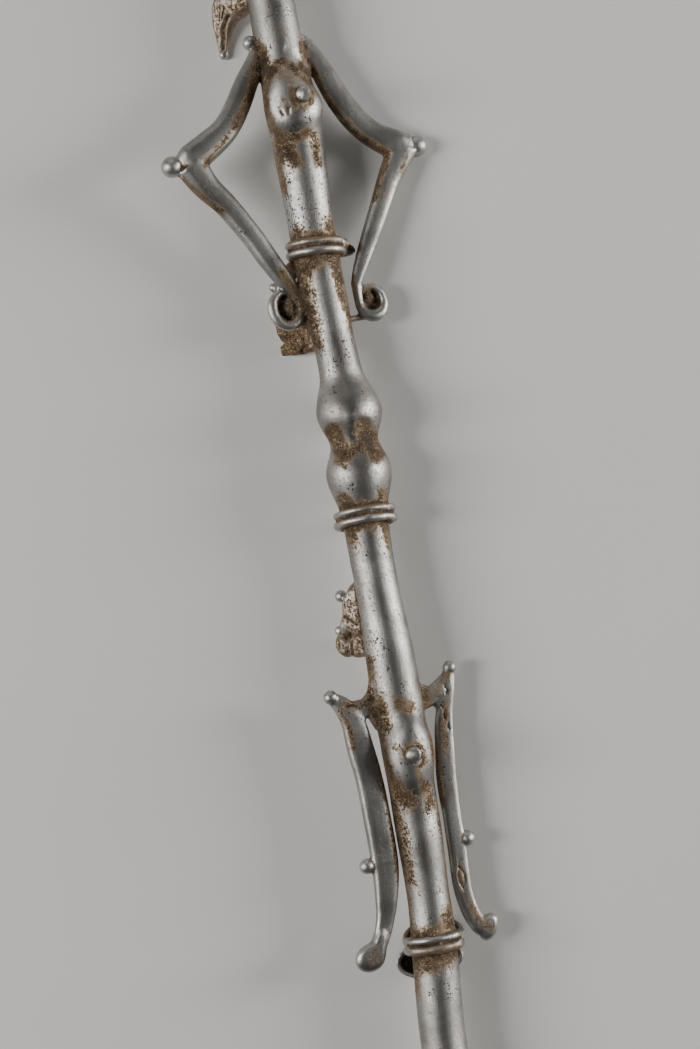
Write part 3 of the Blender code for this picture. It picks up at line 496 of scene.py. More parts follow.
# Outlines of the flat parts of the lugs: out and height
LUG_CHEST_BLOCK = (
    (0.0252, 0.5830), (0.0260, 0.5770), (0.0258, 0.5715), (0.0250, 0.5694),
    (0.0232, 0.5674), (0.0256, 0.5662), (0.0260, 0.5636), (0.0253, 0.5621),
    (0.0210, 0.5616), (0.0173, 0.5613), (0.0137, 0.5615), (0.0050, 0.5614),
    (0.0050, 0.5860), (0.0140, 0.5930), (0.0210, 0.5930),
)
LUG_THIGH_BODY = (
    (0.0040, 0.4625), (0.0113, 0.4609), (0.0135, 0.4586), (0.0162, 0.4555),
    (0.0173, 0.4527), (0.0178, 0.4497), (0.0184, 0.4470), (0.0200, 0.4445),
    (0.0208, 0.4415), (0.0190, 0.4385), (0.0040, 0.4370),
)
LUG_THIGH_LOBES = (
    ((0.0200, 0.4412), (0.0232, 0.4394), (0.0243, 0.4359), (0.0237, 0.4328),
     (0.0213, 0.4302), (0.0184, 0.4300), (0.0168, 0.4330), (0.0172, 0.4380)),
    ((0.0174, 0.4385), (0.0184, 0.4350), (0.0184, 0.4308), (0.0160, 0.4293),
     (0.0140, 0.4291), (0.0060, 0.4300), (0.0060, 0.4400)),
)
CHEST_BLOCK_HALF_DEPTH = 0.0032
THIGH_BODY_HALF_DEPTH = 0.0042
THIGH_BODY_ROUNDING = 0.5
THIGH_LOBE_HALF_DEPTH = 0.0044
THIGH_LOBE_ROUNDING = 0.6

# Balls on the lugs: out, height and radius
LUG_BALLS = (
    (0.0278, 0.6944, 0.0021),
    (0.0236, 0.5918, 0.0021),
    (0.0183, 0.4563, 0.0027),
    (0.0222, 0.4417, 0.0022),
)

# Dish behind the shaft, under the low ring
DISH_AT = 0.2968
DISH_SHIFT = -0.0024

# Flat resting spot of the right elbow's stud: how deep it is cut
REST_SINK = 0.0004

# Fineness of the members before they are fused
SHAFT_ROWS = 420
SHAFT_SIDES = 56
BAR_SIDES = 24
STRAND_SIDES = 16
STRAND_POINTS = 96
STATION_STEPS = 6
OUTLINE_STEPS = 4
PEBBLE_ROWS = 6
SCROLL_STEPS = 40
DISH_STEPS = 24
DISH_SIDES = 64
STUD_SEGMENTS = 32
BIG_BALL_SEGMENTS = 48
PLATE_EDGE_SHARE = 0.35


def length(name, about, value):
    """A length that the user may change."""
    return FloatProperty(name=name, description=about, default=value, min=0.0,
                         unit="LENGTH", precision=5)


def colour(name, about, value):
    """A colour that the user may change."""
    return FloatVectorProperty(name=name, description=about, default=value, size=3,
                               min=0.0, max=1.0, subtype="COLOR")


def share(name, about, value):
    """A share between 0 and 1 that the user may change."""
    return FloatProperty(name=name, description=about, default=value, min=0.0, max=1.0,
                         subtype="FACTOR")


def angle(name, about, degrees):
    """An angle that the user may change."""
    return FloatProperty(name=name, description=about, default=math.radians(degrees),
                         subtype="ANGLE")


class StaffSizes(PropertyGroup):
    """Sizes of the casting."""
    shaft_radius: length("Shaft Radius", "Half the plain shaft's thickness", 0.0098)
    foot_radius: length("Foot Radius", "Radius of the flat end of the foot", 0.0085)
    head_knob_radius: length("Head Knob Radius", "Radius of the ball at the head", 0.0130)
    figure_turn: angle("Figure Turn", "Turn of the figure about the shaft", 12.5)
    strand_upper: length("Upper Strand", "Radius of a ring's upper strand", 0.0016)
    strand_lower: length("Lower Strand", "Radius of a ring's lower strand", 0.0020)
    strand_pitch: length("Strand Pitch", "Distance between a ring's two strands", 0.0041)
    groove_half_width: length("Groove Dirt", "Half the width of the dirt between strands", 0.0011)
    strand_proud: length("Strand Proud", "How far a strand's middle lies above the shaft", 0.0015)
    core_radius: length("Ring Core", "Thickness of the bed under a ring's strands", 0.0020)
    loose_strand_radius: length("Loose Strand", "Radius of the loose low strand", 0.0012)
    arm_flat: share("Arm Flatness", "Depth of an upper arm to its width", 0.85)
    strap_flat: share("Strap Flatness", "Depth of a hanging arm to its width", 0.62)
    web_half_depth: length("Web Half Depth", "Half the thickness of the strap's web", 0.0022)
    paddle_half_depth: length("Paddle Half Depth", "Half the thickness of a strap's foot", 0.0030)
    elbow_stud: length("Elbow Stud", "Radius of the balls at the elbows", 0.0046)
    scroll_turns: FloatProperty(name="Scroll Turns", default=0.84,
                                description="Turns of a scroll hand's strand")
    scroll_floor: length("Scroll Floor", "How far a scroll's floor lies behind it", 0.0023)
    navel_proud: length("Navel Proud", "How far a navel stands above the shaft", 0.0043)
    high_brow: length("High Brow", "Run of the high navel's slope at its top", 0.0048)
    high_tail: length("High Tail", "Run of the high navel's slope at its bottom", 0.0075)
    low_brow: length("Low Brow", "Run of the low navel's slope at its top", 0.0078)
    low_tail: length("Low Tail", "Run of the low navel's slope at its bottom", 0.0095)
    navel_rounding: IntProperty(name="Navel Rounding", default=90, min=0,
                                description="How often a navel's slopes are evened out")
    navel_stud: length("Navel Stud", "Radius of the stud on a navel", 0.0032)
    navel_stud_narrow: share("Stud Narrow", "Width of a stud before the navel widens it", 0.80)
    navel_stud_proud: length("Stud Proud", "How far the stud's middle is above the navel", 0.0019)
    lug_lean: angle("Lug Lean", "How far the lugs lean down to the left", 30.0)
    lug_flat: share("Lug Flatness", "Depth of a lug to its width", 0.60)
    dish_half_width: length("Dish Half Width", "Half the width of the dish", 0.0146)
    dish_half_length: length("Dish Half Length", "Half the length of the dish", 0.0082)
    dish_depth: length("Dish Depth", "Depth of the dish", 0.0092)
    dish_rim_back: length("Dish Rim Back", "How far the rim lies behind the middle line", 0.0066)
    dish_wall: length("Dish Wall", "Thickness of the dish", 0.0020)
    dish_stem: length("Dish Stem", "Radius of the stem of the dish", 0.0050)
    grain: length("Skin Grain", "Size of the cells in which the casting is fused", 0.00050)
    fillet_passes: IntProperty(name="Fillet Passes", default=4, min=0,
                               description="How far the creases are filled and rounded")
    triangles: IntProperty(name="Triangles", default=196000, min=1000,
                           description="Most triangles in the finished skin")


class IronLook(PropertyGroup):
    """Colours and gloss of the worn iron."""
    bright: colour("Bright Iron", "Polished metal", (0.56, 0.545, 0.52))
    dull: colour("Dull Iron", "Metal in the shallows and where it is less rubbed",
                 (0.27, 0.26, 0.245))
    film: colour("Film", "Thin brown film on the metal round the residue", (0.27, 0.180, 0.100))
    glint: colour("Glints", "Bare specks of metal in the residue", (0.50, 0.39, 0.27))
    residue: colour("Residue", "Brown residue in the creases", (0.055, 0.029, 0.012))
    residue_pale: colour("Pale Residue", "Dry, dusty residue", (0.225, 0.128, 0.056))
    pit: colour("Pits", "Bottom of the corrosion pits", (0.022, 0.013, 0.008))
    polish: share("Polish", "Roughness of the rubbed metal", 0.40)
    residue_roughness: share("Residue Roughness", "Roughness of the residue", 0.56)


class StudioLook(PropertyGroup):
    """Floor, lights and camera."""
    floor: colour("Floor", "Colour of the floor", (0.86, 0.845, 0.82))
    left_power: FloatProperty(name="Left Light", default=56.0, min=0.0, unit="POWER",
                              description="Power of the soft light on the left")
    right_power: FloatProperty(name="Right Light", default=57.0, min=0.0, unit="POWER",
                               description="Power of the soft light on the right")
    head_power: FloatProperty(name="Head Light", default=7.0, min=0.0, unit="POWER",
                              description="Power of the weak light past the head")
    room: FloatProperty(name="Room Light", default=0.050, min=0.0,
                        description="Strength of the even light from all sides")
    camera_distance: length("Camera Distance", "Height of the camera above the shaft", 1.0)
    camera_roll: angle("Camera Roll", "Lean of the staff in the picture", 9.39)
    picture_height: length("Picture Height", "Height of the view at the shaft", 0.445825)
    picture_side: FloatProperty(name="Picture Side", default=-0.0024, unit="LENGTH",
                                description="Middle of the view across the shaft")
    picture_along: FloatProperty(name="Picture Along", default=0.0360, unit="LENGTH",
                                 description="Middle of the view along the shaft")


def smooth_value(keys, at):
    """Values at places on a smooth line through keys of (place, value), in rising order."""
    places = np.array([key[0] for key in keys])
    values = np.array([key[1] for key in keys])
    slopes = np.empty_like(values)
    slopes[1:-1] = (values[2:] - values[:-2]) / (places[2:] - places[:-2])
    slopes[0] = (values[1] - values[0]) / (places[1] - places[0])
    slopes[-1] = (values[-1] - values[-2]) / (places[-1] - places[-2])
    at = np.clip(at, places[0], places[-1])
    i = np.clip(np.searchsorted(places, at, side="right") - 1, 0, len(places) - 2)
    span = places[i + 1] - places[i]
    t = (at - places[i]) / span
    start = (1 + 2 * t) * (1 - t) ** 2 * values[i] + t * (1 - t) ** 2 * span * slopes[i]
    end = t ** 2 * (3 - 2 * t) * values[i + 1] - t ** 2 * (1 - t) * span * slopes[i + 1]
    return start + end


def smooth_stations(stations, steps):
    """Stations on a smooth line through the given ones, with steps to each stretch."""
    count = (len(stations) - 1) * steps + 1
    at = np.arange(count) / steps
    columns = [smooth_value(list(enumerate(column)), at) for column in zip(*stations)]
    return [tuple(float(value) for value in row) for row in zip(*columns)]


def middle_line(height):
    """Shift of the shaft's middle to the right at a height."""
    return smooth_value(BENDS, height)


def seen_from_eye(places):
    """Side and height at which places are seen from the eye in front of the staff."""
    eye = np.array(EYE)
    nearer = EYE_DISTANCE / (EYE_DISTANCE - places[:, 2:])
    seen = eye + nearer * (places[:, :2] - eye)
    return np.stack((seen[:, 0] - middle_line(seen[:, 1]), seen[:, 1]), axis=1)


def shaft_radius(sizes, height):
    """Radius of the shaft with its swellings and the taper of its foot."""
    radius = np.full_like(np.asarray(height, float), sizes.shaft_radius)
    for centre, reach_up, reach_down, rise in SWELLINGS:
        offset = height - centre
        reach = np.where(offset > 0, reach_up, reach_down)
        bump = np.cos(0.5 * math.pi * np.clip(offset / reach, -1.0, 1.0)) ** 2
        radius = radius + rise * bump
    taper = FOOT_KNOB[0] - FOOT_KNOB[2]
    drop = sizes.shaft_radius - sizes.foot_radius
    return radius - drop * np.clip(1.0 - height / taper, 0.0, 1.0)


def on_figure(sizes, out, height, forward):
    """Point given by the turned figure's side, height and front."""
    turn = sizes.figure_turn
    x = float(middle_line(height)) + out * math.cos(turn) + forward * math.sin(turn)
    return Vector((x, height, forward * math.cos(turn) - out * math.sin(turn)))


def on_lug(sizes, out, height):
    """Point in the lugs' plane, which leaves the shaft's back to the left and down."""
    x = float(middle_line(height)) - out * math.cos(sizes.lug_lean)
    return Vector((x, height, -out * math.sin(sizes.lug_lean)))


def workshop():
    """Collection that holds the members until they are cast together."""
    if "members" not in bpy.data.collections:
        bpy.context.scene.collection.children.link(bpy.data.collections.new("members"))
    return bpy.data.collections["members"]


def add_member(name, mesh):
    """An object in the collection of members."""
    member = bpy.data.objects.new(name, mesh)
    workshop().objects.link(member)
    return member


def plain_mesh(piece):
    """A plain copy of a piece's mesh, with its modifiers worked out."""
    bpy.context.view_layer.update()
    graph = bpy.context.evaluated_depsgraph_get()
    return bpy.data.meshes.new_from_object(piece.evaluated_get(graph), depsgraph=graph)


def tree_input(tree, name):
    """Identifier of a tree's named input."""
    for item in tree.interface.items_tree:
        if item.item_type == "SOCKET" and item.in_out == "INPUT" and item.name == name:
            return item.identifier
    raise ValueError(f"{tree.name} has no input {name}")


def add_socket(tree, name, way, kind, value=None):
    """A named socket of a tree, with its first value."""
    socket = tree.interface.new_socket(name=name, in_out=way, socket_type="NodeSocket" + kind)
    if value is not None:
        socket.default_value = value
    return socket


def feed(tree, socket, value):
    """Link a socket to another one, or set its value."""
    if isinstance(value, bpy.types.NodeSocket):
        tree.links.new(value, socket)
    else:
        socket.default_value = value


def add_node(tree, kind, inputs=None, **settings):
    """A node with its settings, and its inputs linked or set by name."""
    node = tree.nodes.new(kind)
    for name, value in settings.items():
        setattr(node, name, value)
    for name, value in (inputs or {}).items():
        feed(tree, node.inputs[name], value)
    return node


def maths(tree, operation, first, second=0.0, clamp=False):
    """Result of a sum on two numbers, each a socket or a value."""
    node = add_node(tree, "ShaderNodeMath", operation=operation, use_clamp=clamp)
    feed(tree, node.inputs[0], first)
    feed(tree, node.inputs[1], second)
    return node.outputs[0]


def vector_maths(tree, operation, first, second):
    """Result of a sum on two vectors."""
    node = add_node(tree, "ShaderNodeVectorMath", operation=operation)
    feed(tree, node.inputs[0], first)
    feed(tree, node.inputs[1], second)
    return node.outputs["Vector"]


def casting_tree(name, inputs):
    """Geometry tree with inputs of (name, kind, value), and its input node."""
    tree = bpy.data.node_groups.new(name, "GeometryNodeTree")
    for title, kind, value in inputs:
        add_socket(tree, title, "INPUT", kind, value)
    add_socket(tree, "Casting", "OUTPUT", "Geometry")
    return tree, add_node(tree, "NodeGroupInput")


def finish_tree(tree, geometry, given):
    """Realize Instances and Set Material, which end every geometry tree here."""
    real = add_node(tree, "GeometryNodeRealizeInstances", {"Geometry": geometry})
    coated = add_node(tree, "GeometryNodeSetMaterial", {
        "Geometry": real.outputs["Geometry"],
        "Material": given.outputs["Material"],
    })
    add_node(tree, "NodeGroupOutput", {"Casting": coated.outputs["Geometry"]})


def squared_section(tree, circle, squareness):
    """Section between round, at a squareness of 2, and square."""
    place = add_node(tree, "GeometryNodeInputPosition").outputs["Position"]
    parts = add_node(tree, "ShaderNodeSeparateXYZ", {"Vector": place})
    across = maths(tree, "POWER", maths(tree, "ABSOLUTE", parts.outputs["X"]), squareness)
    along = maths(tree, "POWER", maths(tree, "ABSOLUTE", parts.outputs["Y"]), squareness)
    root = maths(tree, "DIVIDE", -1.0, squareness)
    stretch = maths(tree, "POWER", maths(tree, "ADD", across, along), root)
    moved = add_node(tree, "ShaderNodeVectorMath", {
        "Vector": place,
        "Scale": stretch,
    }, operation="SCALE")
    shaped = add_node(tree, "GeometryNodeSetPosition", {
        "Geometry": circle,
        "Position": moved.outputs["Vector"],
    })
    return shaped.outputs["Geometry"]


def bar_tree():
    """Sweeps a round section along lines, flattens it, and leans it about the shaft."""
    if "Cast Bar" in bpy.data.node_groups:
        return bpy.data.node_groups["Cast Bar"]
    tree, given = casting_tree("Cast Bar", (
        ("Lines", "Geometry", None),
        ("Sides", "Int", BAR_SIDES),
        ("Squareness", "Float", 2.0),
        ("Flatness", "Float", 1.0),
        ("Forward", "Float", 0.0),
        ("Lean", "Float", 0.0),
        ("Material", "Material", None),
    ))
    width = add_node(tree, "GeometryNodeInputNamedAttribute", {"Name": "half_width"})
    sway = add_node(tree, "GeometryNodeInputNamedAttribute", {"Name": "sway"})
    curve = add_node(tree, "GeometryNodeMeshToCurve", {"Mesh": given.outputs["Lines"]})
    section = add_node(tree, "GeometryNodeCurvePrimitiveCircle", {
        "Resolution": given.outputs["Sides"],
        "Radius": 1.0,
    })
    squared = squared_section(tree, section.outputs["Curve"], given.outputs["Squareness"])
    bar = add_node(tree, "GeometryNodeCurveToMesh", {
        "Curve": curve.outputs["Curve"],
        "Profile Curve": squared,
        "Scale": width.outputs["Attribute"],
        "Fill Caps": True,
    })
    place = add_node(tree, "GeometryNodeInputPosition").outputs["Position"]
    flat = add_node(tree, "ShaderNodeCombineXYZ", {
        "X": 1.0,
        "Y": 1.0,
        "Z": given.outputs["Flatness"],
    })
    lift = add_node(tree, "ShaderNodeCombineXYZ", {"Z": given.outputs["Forward"]})
    aside = add_node(tree, "ShaderNodeCombineXYZ", {"X": sway.outputs["Attribute"]})
    flattened = vector_maths(tree, "MULTIPLY", place, flat.outputs["Vector"])
    leaned = add_node(tree, "ShaderNodeVectorRotate", {
        "Vector": vector_maths(tree, "ADD", flattened, lift.outputs["Vector"]),
        "Angle": given.outputs["Lean"],
    }, rotation_type="Y_AXIS")
    moved = add_node(tree, "GeometryNodeSetPosition", {
        "Geometry": bar.outputs["Mesh"],
        "Position": vector_maths(tree, "ADD", leaned.outputs["Vector"], aside.outputs["Vector"]),
    })
    finish_tree(tree, moved.outputs["Geometry"], given)
    return tree


def ball_rows(segments):
    """Rows of faces that suit a ball with so many segments round it."""
    return 2 * (segments // 3)


def ball_tree():
    """Puts a ball on each point, stretched by the point's half sizes."""
    if "Cast Balls" in bpy.data.node_groups:
        return bpy.data.node_groups["Cast Balls"]
    tree, given = casting_tree("Cast Balls", (
        ("Points", "Geometry", None),
        ("Segments", "Int", STUD_SEGMENTS),
        ("Rows", "Int", ball_rows(STUD_SEGMENTS)),
        ("Material", "Material", None),
    ))
    sizes = add_node(tree, "GeometryNodeInputNamedAttribute", {"Name": "half_sizes"},
                     data_type="FLOAT_VECTOR")
    ball = add_node(tree, "GeometryNodeMeshUVSphere", {
        "Segments": given.outputs["Segments"],
        "Rings": given.outputs["Rows"],
        "Radius": 1.0,
    })
    balls = add_node(tree, "GeometryNodeInstanceOnPoints", {
        "Points": given.outputs["Points"],
        "Instance": ball.outputs["Mesh"],
        "Scale": sizes.outputs["Attribute"],
    })
    finish_tree(tree, balls.outputs["Instances"], given)
    return tree


def grow(name, mesh, tree, inputs):
    """A member made by a geometry tree from a mesh of lines or points."""
    member = add_member(name, mesh)
    modifier = member.modifiers.new("grow", "NODES")
    modifier.node_group = tree
    for title, value in inputs.items():
        modifier[tree_input(tree, title)] = value
    grown = plain_mesh(member)
    member.modifiers.remove(modifier)
    member.data = grown
    bpy.data.meshes.remove(mesh)
    return member


def bars(name, lines, sides=BAR_SIDES, flat=1.0, lean=0.0, closed=False, square=2.0,
         forward=0.0):
    """Bars along lines of (x, y, z, half width). Their x is counted from the middle line."""
    places, edges = [], []
    for line in lines:
        first = len(places)
        places.extend(line)
        edges.extend((first + i, first + i + 1) for i in range(len(line) - 1))
        if closed:
            edges.append((first + len(line) - 1, first))
    mesh = bpy.data.meshes.new(name)
    mesh.from_pydata([place[:3] for place in places], edges, [])
    widths = mesh.attributes.new("half_width", "FLOAT", "POINT")
    widths.data.foreach_set("value", [place[3] for place in places])
    shifts = mesh.attributes.new("sway", "FLOAT", "POINT")
    heights = np.array([place[1] for place in places])
    shifts.data.foreach_set("value", middle_line(heights))
    return grow(name, mesh, bar_tree(), {
        "Sides": sides,
        "Squareness": square,
        "Flatness": flat,
        "Forward": forward,
        "Lean": lean,
    })


def balls(name, points, segments=STUD_SEGMENTS):
    """Balls at (centre, half sizes)."""
    mesh = bpy.data.meshes.new(name)
    mesh.from_pydata([tuple(centre) for centre, half in points], [], [])
    halves = mesh.attributes.new("half_sizes", "FLOAT_VECTOR", "POINT")
    halves.data.foreach_set("vector", [value for centre, half in points for value in half])
    return grow(name, mesh, ball_tree(), {"Segments": segments, "Rows": ball_rows(segments)})


def round_ball(centre, radius):
    """Centre and half sizes of a round ball."""
    return centre, (radius, radius, radius)


def limb(name, sizes, stations, flat, steps=STATION_STEPS, square=2.0, forward=0.0):
    """Bar in the figure's plane along stations of (out, height, half width)."""
    line = [(out, height, 0.0, half) for out, height, half in smooth_stations(stations, steps)]
    return bars(name, [line], flat=flat, lean=sizes.figure_turn, square=square,
                forward=forward)


def plate(name, outline, half_depth, lean):
    """Flat plate cut to an outline of (place in its plane, height), with its edges broken."""
    work = bmesh.new()
    back = work.faces.new([work.verts.new((x, y, -half_depth)) for x, y in outline])
    grown = bmesh.ops.extrude_face_region(work, geom=[back])["geom"]
    front = [part for part in grown if isinstance(part, bmesh.types.BMVert)]
    bmesh.ops.translate(work, verts=front, vec=(0.0, 0.0, 2.0 * half_depth))
    bmesh.ops.recalc_face_normals(work, faces=work.faces)
    rims = [edge for edge in work.edges if edge.verts[0].co.z * edge.verts[1].co.z > 0.0]
    broken = PLATE_EDGE_SHARE * half_depth
    bmesh.ops.bevel(work, geom=rims, offset=broken, segments=2, affect="EDGES")
    return add_leaned(name, work, lean)


def add_leaned(name, work, lean, forward=0.0):
    """Member from a bmesh drawn in its own plane, which is then leaned about the shaft."""
    bmesh.ops.translate(work, verts=work.verts, vec=(0.0, 0.0, forward))
    bmesh.ops.triangulate(work, faces=work.faces)
    bmesh.ops.recalc_face_normals(work, faces=work.faces)
    bmesh.ops.transform(work, matrix=Matrix.Rotation(lean, 4, "Y"), verts=work.verts)
    for vertex in work.verts:
        vertex.co.x += float(middle_line(vertex.co.y))
    mesh = bpy.data.meshes.new(name)
    work.to_mesh(mesh)
    work.free()
    return add_member(name, mesh)


def round_outline(outline, steps):
    """Points on a smooth closed line through the outline's points."""
    looped = list(outline[-2:]) + list(outline) + list(outline[:2])
    at = 2.0 + np.arange(len(outline) * steps) / steps
    columns = [smooth_value(list(enumerate(column)), at) for column in zip(*looped)]
    return np.stack(columns, axis=1)


def pebble(name, outline, half_depth, rounding, lean, forward=0.0):
    """Solid of a given outline, thickest in its middle and rounded towards the edge."""
    edge = round_outline(outline, OUTLINE_STEPS)
    middle = edge.mean(axis=0)
    work = bmesh.new()
    rows = []
    for k in range(-PEBBLE_ROWS, PEBBLE_ROWS + 1):
        rise = 0.5 * math.pi * k / PEBBLE_ROWS
        spread = 1.0 - rounding * (1.0 - math.cos(rise))
        row = middle + spread * (edge - middle)
        rows.append([work.verts.new((x, y, half_depth * math.sin(rise))) for x, y in row])
    count = len(edge)
    for low, high in zip(rows, rows[1:]):
        for k in range(count):
            after = (k + 1) % count
            work.faces.new((low[k], low[after], high[after], high[k]))
    work.faces.new(rows[0])
    work.faces.new(rows[-1])
    return add_leaned(name, work, lean, forward)


def lug(name, sizes, stations, square=2.0):
    """Bar in the lugs' plane, which leaves the shaft's back to the left and down."""
    line = [(-out, height, 0.0, half)
            for out, height, half in smooth_stations(stations, STATION_STEPS)]
    return bars(name, [line], flat=sizes.lug_flat, lean=-sizes.lug_lean, square=square)


class STAFF_OT_shaft(Operator):
    """Makes the shaft with its knobs, necks, swellings, head knob and foot"""
    bl_idname = "staff.shaft"
    bl_label = "Shaft"

    def execute(self, context):
        sizes = context.scene.staff_sizes
        knob_at = STAFF_LENGTH - sizes.head_knob_radius
        heights = np.linspace(0.0, knob_at, SHAFT_ROWS)
        radii = shaft_radius(sizes, heights)
        line = [(0.0, float(h), 0.0, float(r)) for h, r in zip(heights, radii)]
        bars("shaft", [line], sides=SHAFT_SIDES)
        head = Vector((float(middle_line(knob_at)), knob_at, 0.0))
        balls("head_knob", [round_ball(head, sizes.head_knob_radius)], BIG_BALL_SEGMENTS)
        return {"FINISHED"}


def strand_line(height, side, radius, thickness, ring, seed):
    """Points of a closed strand round the shaft, a little uneven as if rolled by hand."""
    tilt, slant, shift = ring
    upright = Matrix.Rotation(math.radians(90.0 - tilt), 4, "X")
    turn = Matrix.Rotation(math.radians(slant), 4, "Z") @ upright
    middle = Vector((shift, height + side, 0.0))
    line = []
    for i in range(STRAND_POINTS):
        around = 2.0 * math.pi * i / STRAND_POINTS
        spot = Vector((3.0 * math.cos(around), 3.0 * math.sin(around), seed))
        stray = STRAND_STRAY * noise.noise(spot)
        swell = 1.0 + STRAND_SWELL * noise.noise(spot + Vector((0.0, 0.0, 40.0)))
        place = Vector((math.cos(around) * radius, math.sin(around) * radius, stray))
        point = middle + turn @ place
        line.append((point.x, point.y, point.z, thickness * swell))
    return line


def groove_line(sizes, ring, seed):
    """Line between a ring's two strands, as seen on its front."""
    height, tilt, slant, shift, extra = ring
    radius = float(shaft_radius(sizes, height)) + extra + sizes.strand_proud
    around = strand_line(height, 0.0, radius, 0.0, (tilt, slant, shift), seed)
    front = np.array(sorted(place[:3] for place in around if place[2] > 0.1 * radius))
    front[:, 0] += middle_line(front[:, 1])
    return seen_from_eye(front)


class STAFF_OT_rings(Operator):
    """Makes the rings of paired strands, the loose strand and the free strand end"""
    bl_idname = "staff.rings"
    bl_label = "Rings"

    def execute(self, context):
        sizes = context.scene.staff_sizes
        strands = []
        for k, (height, tilt, slant, shift, extra) in enumerate(RINGS):
            radius = float(shaft_radius(sizes, height)) + extra
            lie = (tilt, slant, shift)
            for side, thickness in ((-0.5, sizes.strand_lower), (0.5, sizes.strand_upper)):
                strands.append(strand_line(height, side * sizes.strand_pitch,
                                           radius + sizes.strand_proud,
                                           thickness, lie, 7.0 * k + side))
            strands.append(strand_line(height, 0.0, radius - sizes.strand_proud,
                                       sizes.core_radius, lie, 7.0 * k + 3.0))
        loose_at = RING_LOW[0] + LOOSE_STRAND_RISE
        radius = float(shaft_radius(sizes, loose_at)) + 2 * sizes.loose_strand_radius
        strands.append(strand_line(loose_at, 0.0, radius, sizes.loose_strand_radius,
                                   (LOOSE_STRAND_TILT, 0.0, 0.0), 60.0))
        bars("rings", strands, sides=STRAND_SIDES, closed=True)
        pebble("free_strand_end", FREE_END, FREE_END_HALF_DEPTH, FREE_END_ROUNDING,
               sizes.figure_turn, -FREE_END_BACK)
        points = []
        for side, height, forward, radius in BRIDGES:
            x = float(middle_line(height)) + side
            points.append(round_ball(Vector((x, height, forward)), radius))
        balls("strand_bridges", points)
        return {"FINISHED"}


class STAFF_OT_navels(Operator):
    """Makes the studs of the two navels, whose swellings are raised from the fused skin"""
    bl_idname = "staff.navels"
    bl_label = "Navel Studs"

    def execute(self, context):
        sizes = context.scene.staff_sizes
        points = []
        for side, height in (STUD_HIGH, STUD_LOW):
            front = math.sqrt(float(shaft_radius(sizes, height)) ** 2 - side ** 2)
            centre = Vector((float(middle_line(height)) + side, height, front))
            outwards = Vector((side, 0.0, front)).normalized()
            half = (sizes.navel_stud_narrow * sizes.navel_stud, sizes.navel_stud,
                    sizes.navel_stud)
            points.append((centre + sizes.navel_stud_proud * outwards, half))
        balls("navel_studs", points, BIG_BALL_SEGMENTS)
        return {"FINISHED"}


def scroll_stations(sizes, side, scroll, strand):
    """Strand from beside the shaft, down, outwards and up again."""
    out, height, half_width, half_height = scroll
    quarters = [(0.25 * k, half) for k, half in enumerate(strand)]
    stations = []
    for i in range(SCROLL_STEPS + 1):
        turns = sizes.scroll_turns * i / SCROLL_STEPS
        around = 2.0 * math.pi * turns
        stations.append((side * (out - half_width * math.cos(around)),
                         height - half_height * math.sin(around),
                         float(smooth_value(quarters, turns))))
    return stations


def akimbo_arm(name, sizes, side, arm, forearm, scroll, strand, boss, elbow, shoulder):
    """Arm with its hand on the hip: upper arm, forearm, scroll hand and studs."""
    out, height, half_width, half_height = scroll
    limb(name, sizes, arm, sizes.arm_flat, square=ARM_SQUARENESS)
    limb(name + "_forearm", sizes, forearm, sizes.arm_flat, square=ARM_SQUARENESS)
    wrist = smooth_stations(forearm[-2:], STATION_STEPS)
    hand = wrist + scroll_stations(sizes, side, scroll, strand)
    limb(name + "_hand", sizes, hand, sizes.arm_flat, steps=1)
    hip_at = height - half_height
    web = ((0.0, hip_at, HIP_WEB_HALF_WIDTH),
           (side * (out - HIP_WEB_SHORT), hip_at, HIP_WEB_HALF_WIDTH))
    limb(name + "_hip_web", sizes, web, 1.0, forward=-HIP_WEB_BACK)
    joint = ELBOW_JOINT_SHARE * forearm[0][2]
    floor = on_figure(sizes, side * out, height, -sizes.scroll_floor)
    balls(name + "_balls", [
        (floor, (half_width, half_height, SCROLL_FLOOR_HALF_DEPTH)),
        (on_figure(sizes, boss[0], boss[1], -BOSS_BACK), boss[2:]),
        (on_figure(sizes, forearm[0][0], forearm[0][1], 0.0),
         (joint, joint, joint * sizes.arm_flat)),
        round_ball(on_figure(sizes, *elbow, 0.0), sizes.elbow_stud),
        round_ball(on_figure(sizes, *shoulder[:2], 0.0), shoulder[2]),
    ])


class STAFF_OT_akimbo_arms(Operator):
    """Makes the upper pair of arms with their scroll hands on the hips"""
    bl_idname = "staff.akimbo_arms"
    bl_label = "Arms"

    def execute(self, context):
        sizes = context.scene.staff_sizes
        akimbo_arm("left_arm", sizes, -1, LEFT_UPPER_ARM, LEFT_FOREARM, SCROLL_LEFT,
                   SCROLL_LEFT_STRAND, BOSS_LEFT, LEFT_ELBOW, LEFT_SHOULDER_STUD)
        akimbo_arm("right_arm", sizes, 1, RIGHT_UPPER_ARM, RIGHT_FOREARM, SCROLL_RIGHT,
                   SCROLL_RIGHT_STRAND, BOSS_RIGHT, RIGHT_ELBOW, RIGHT_SHOULDER_STUD)
        return {"FINISHED"}


def hanging_arm(name, sizes, strap, web, studs, foot):
    """Flat strap hung from a shoulder web, with studs and a round foot."""
    limb(name, sizes, strap, sizes.strap_flat, square=STRAP_SQUARENESS)
    plate(name + "_web", web, sizes.web_half_depth, sizes.figure_turn)
    pebble(name + "_foot", foot, sizes.paddle_half_depth, PADDLE_ROUNDING, sizes.figure_turn)
    points = [round_ball(on_figure(sizes, out, height, 0.0), radius)
              for out, height, radius in studs]
    balls(name + "_balls", points)


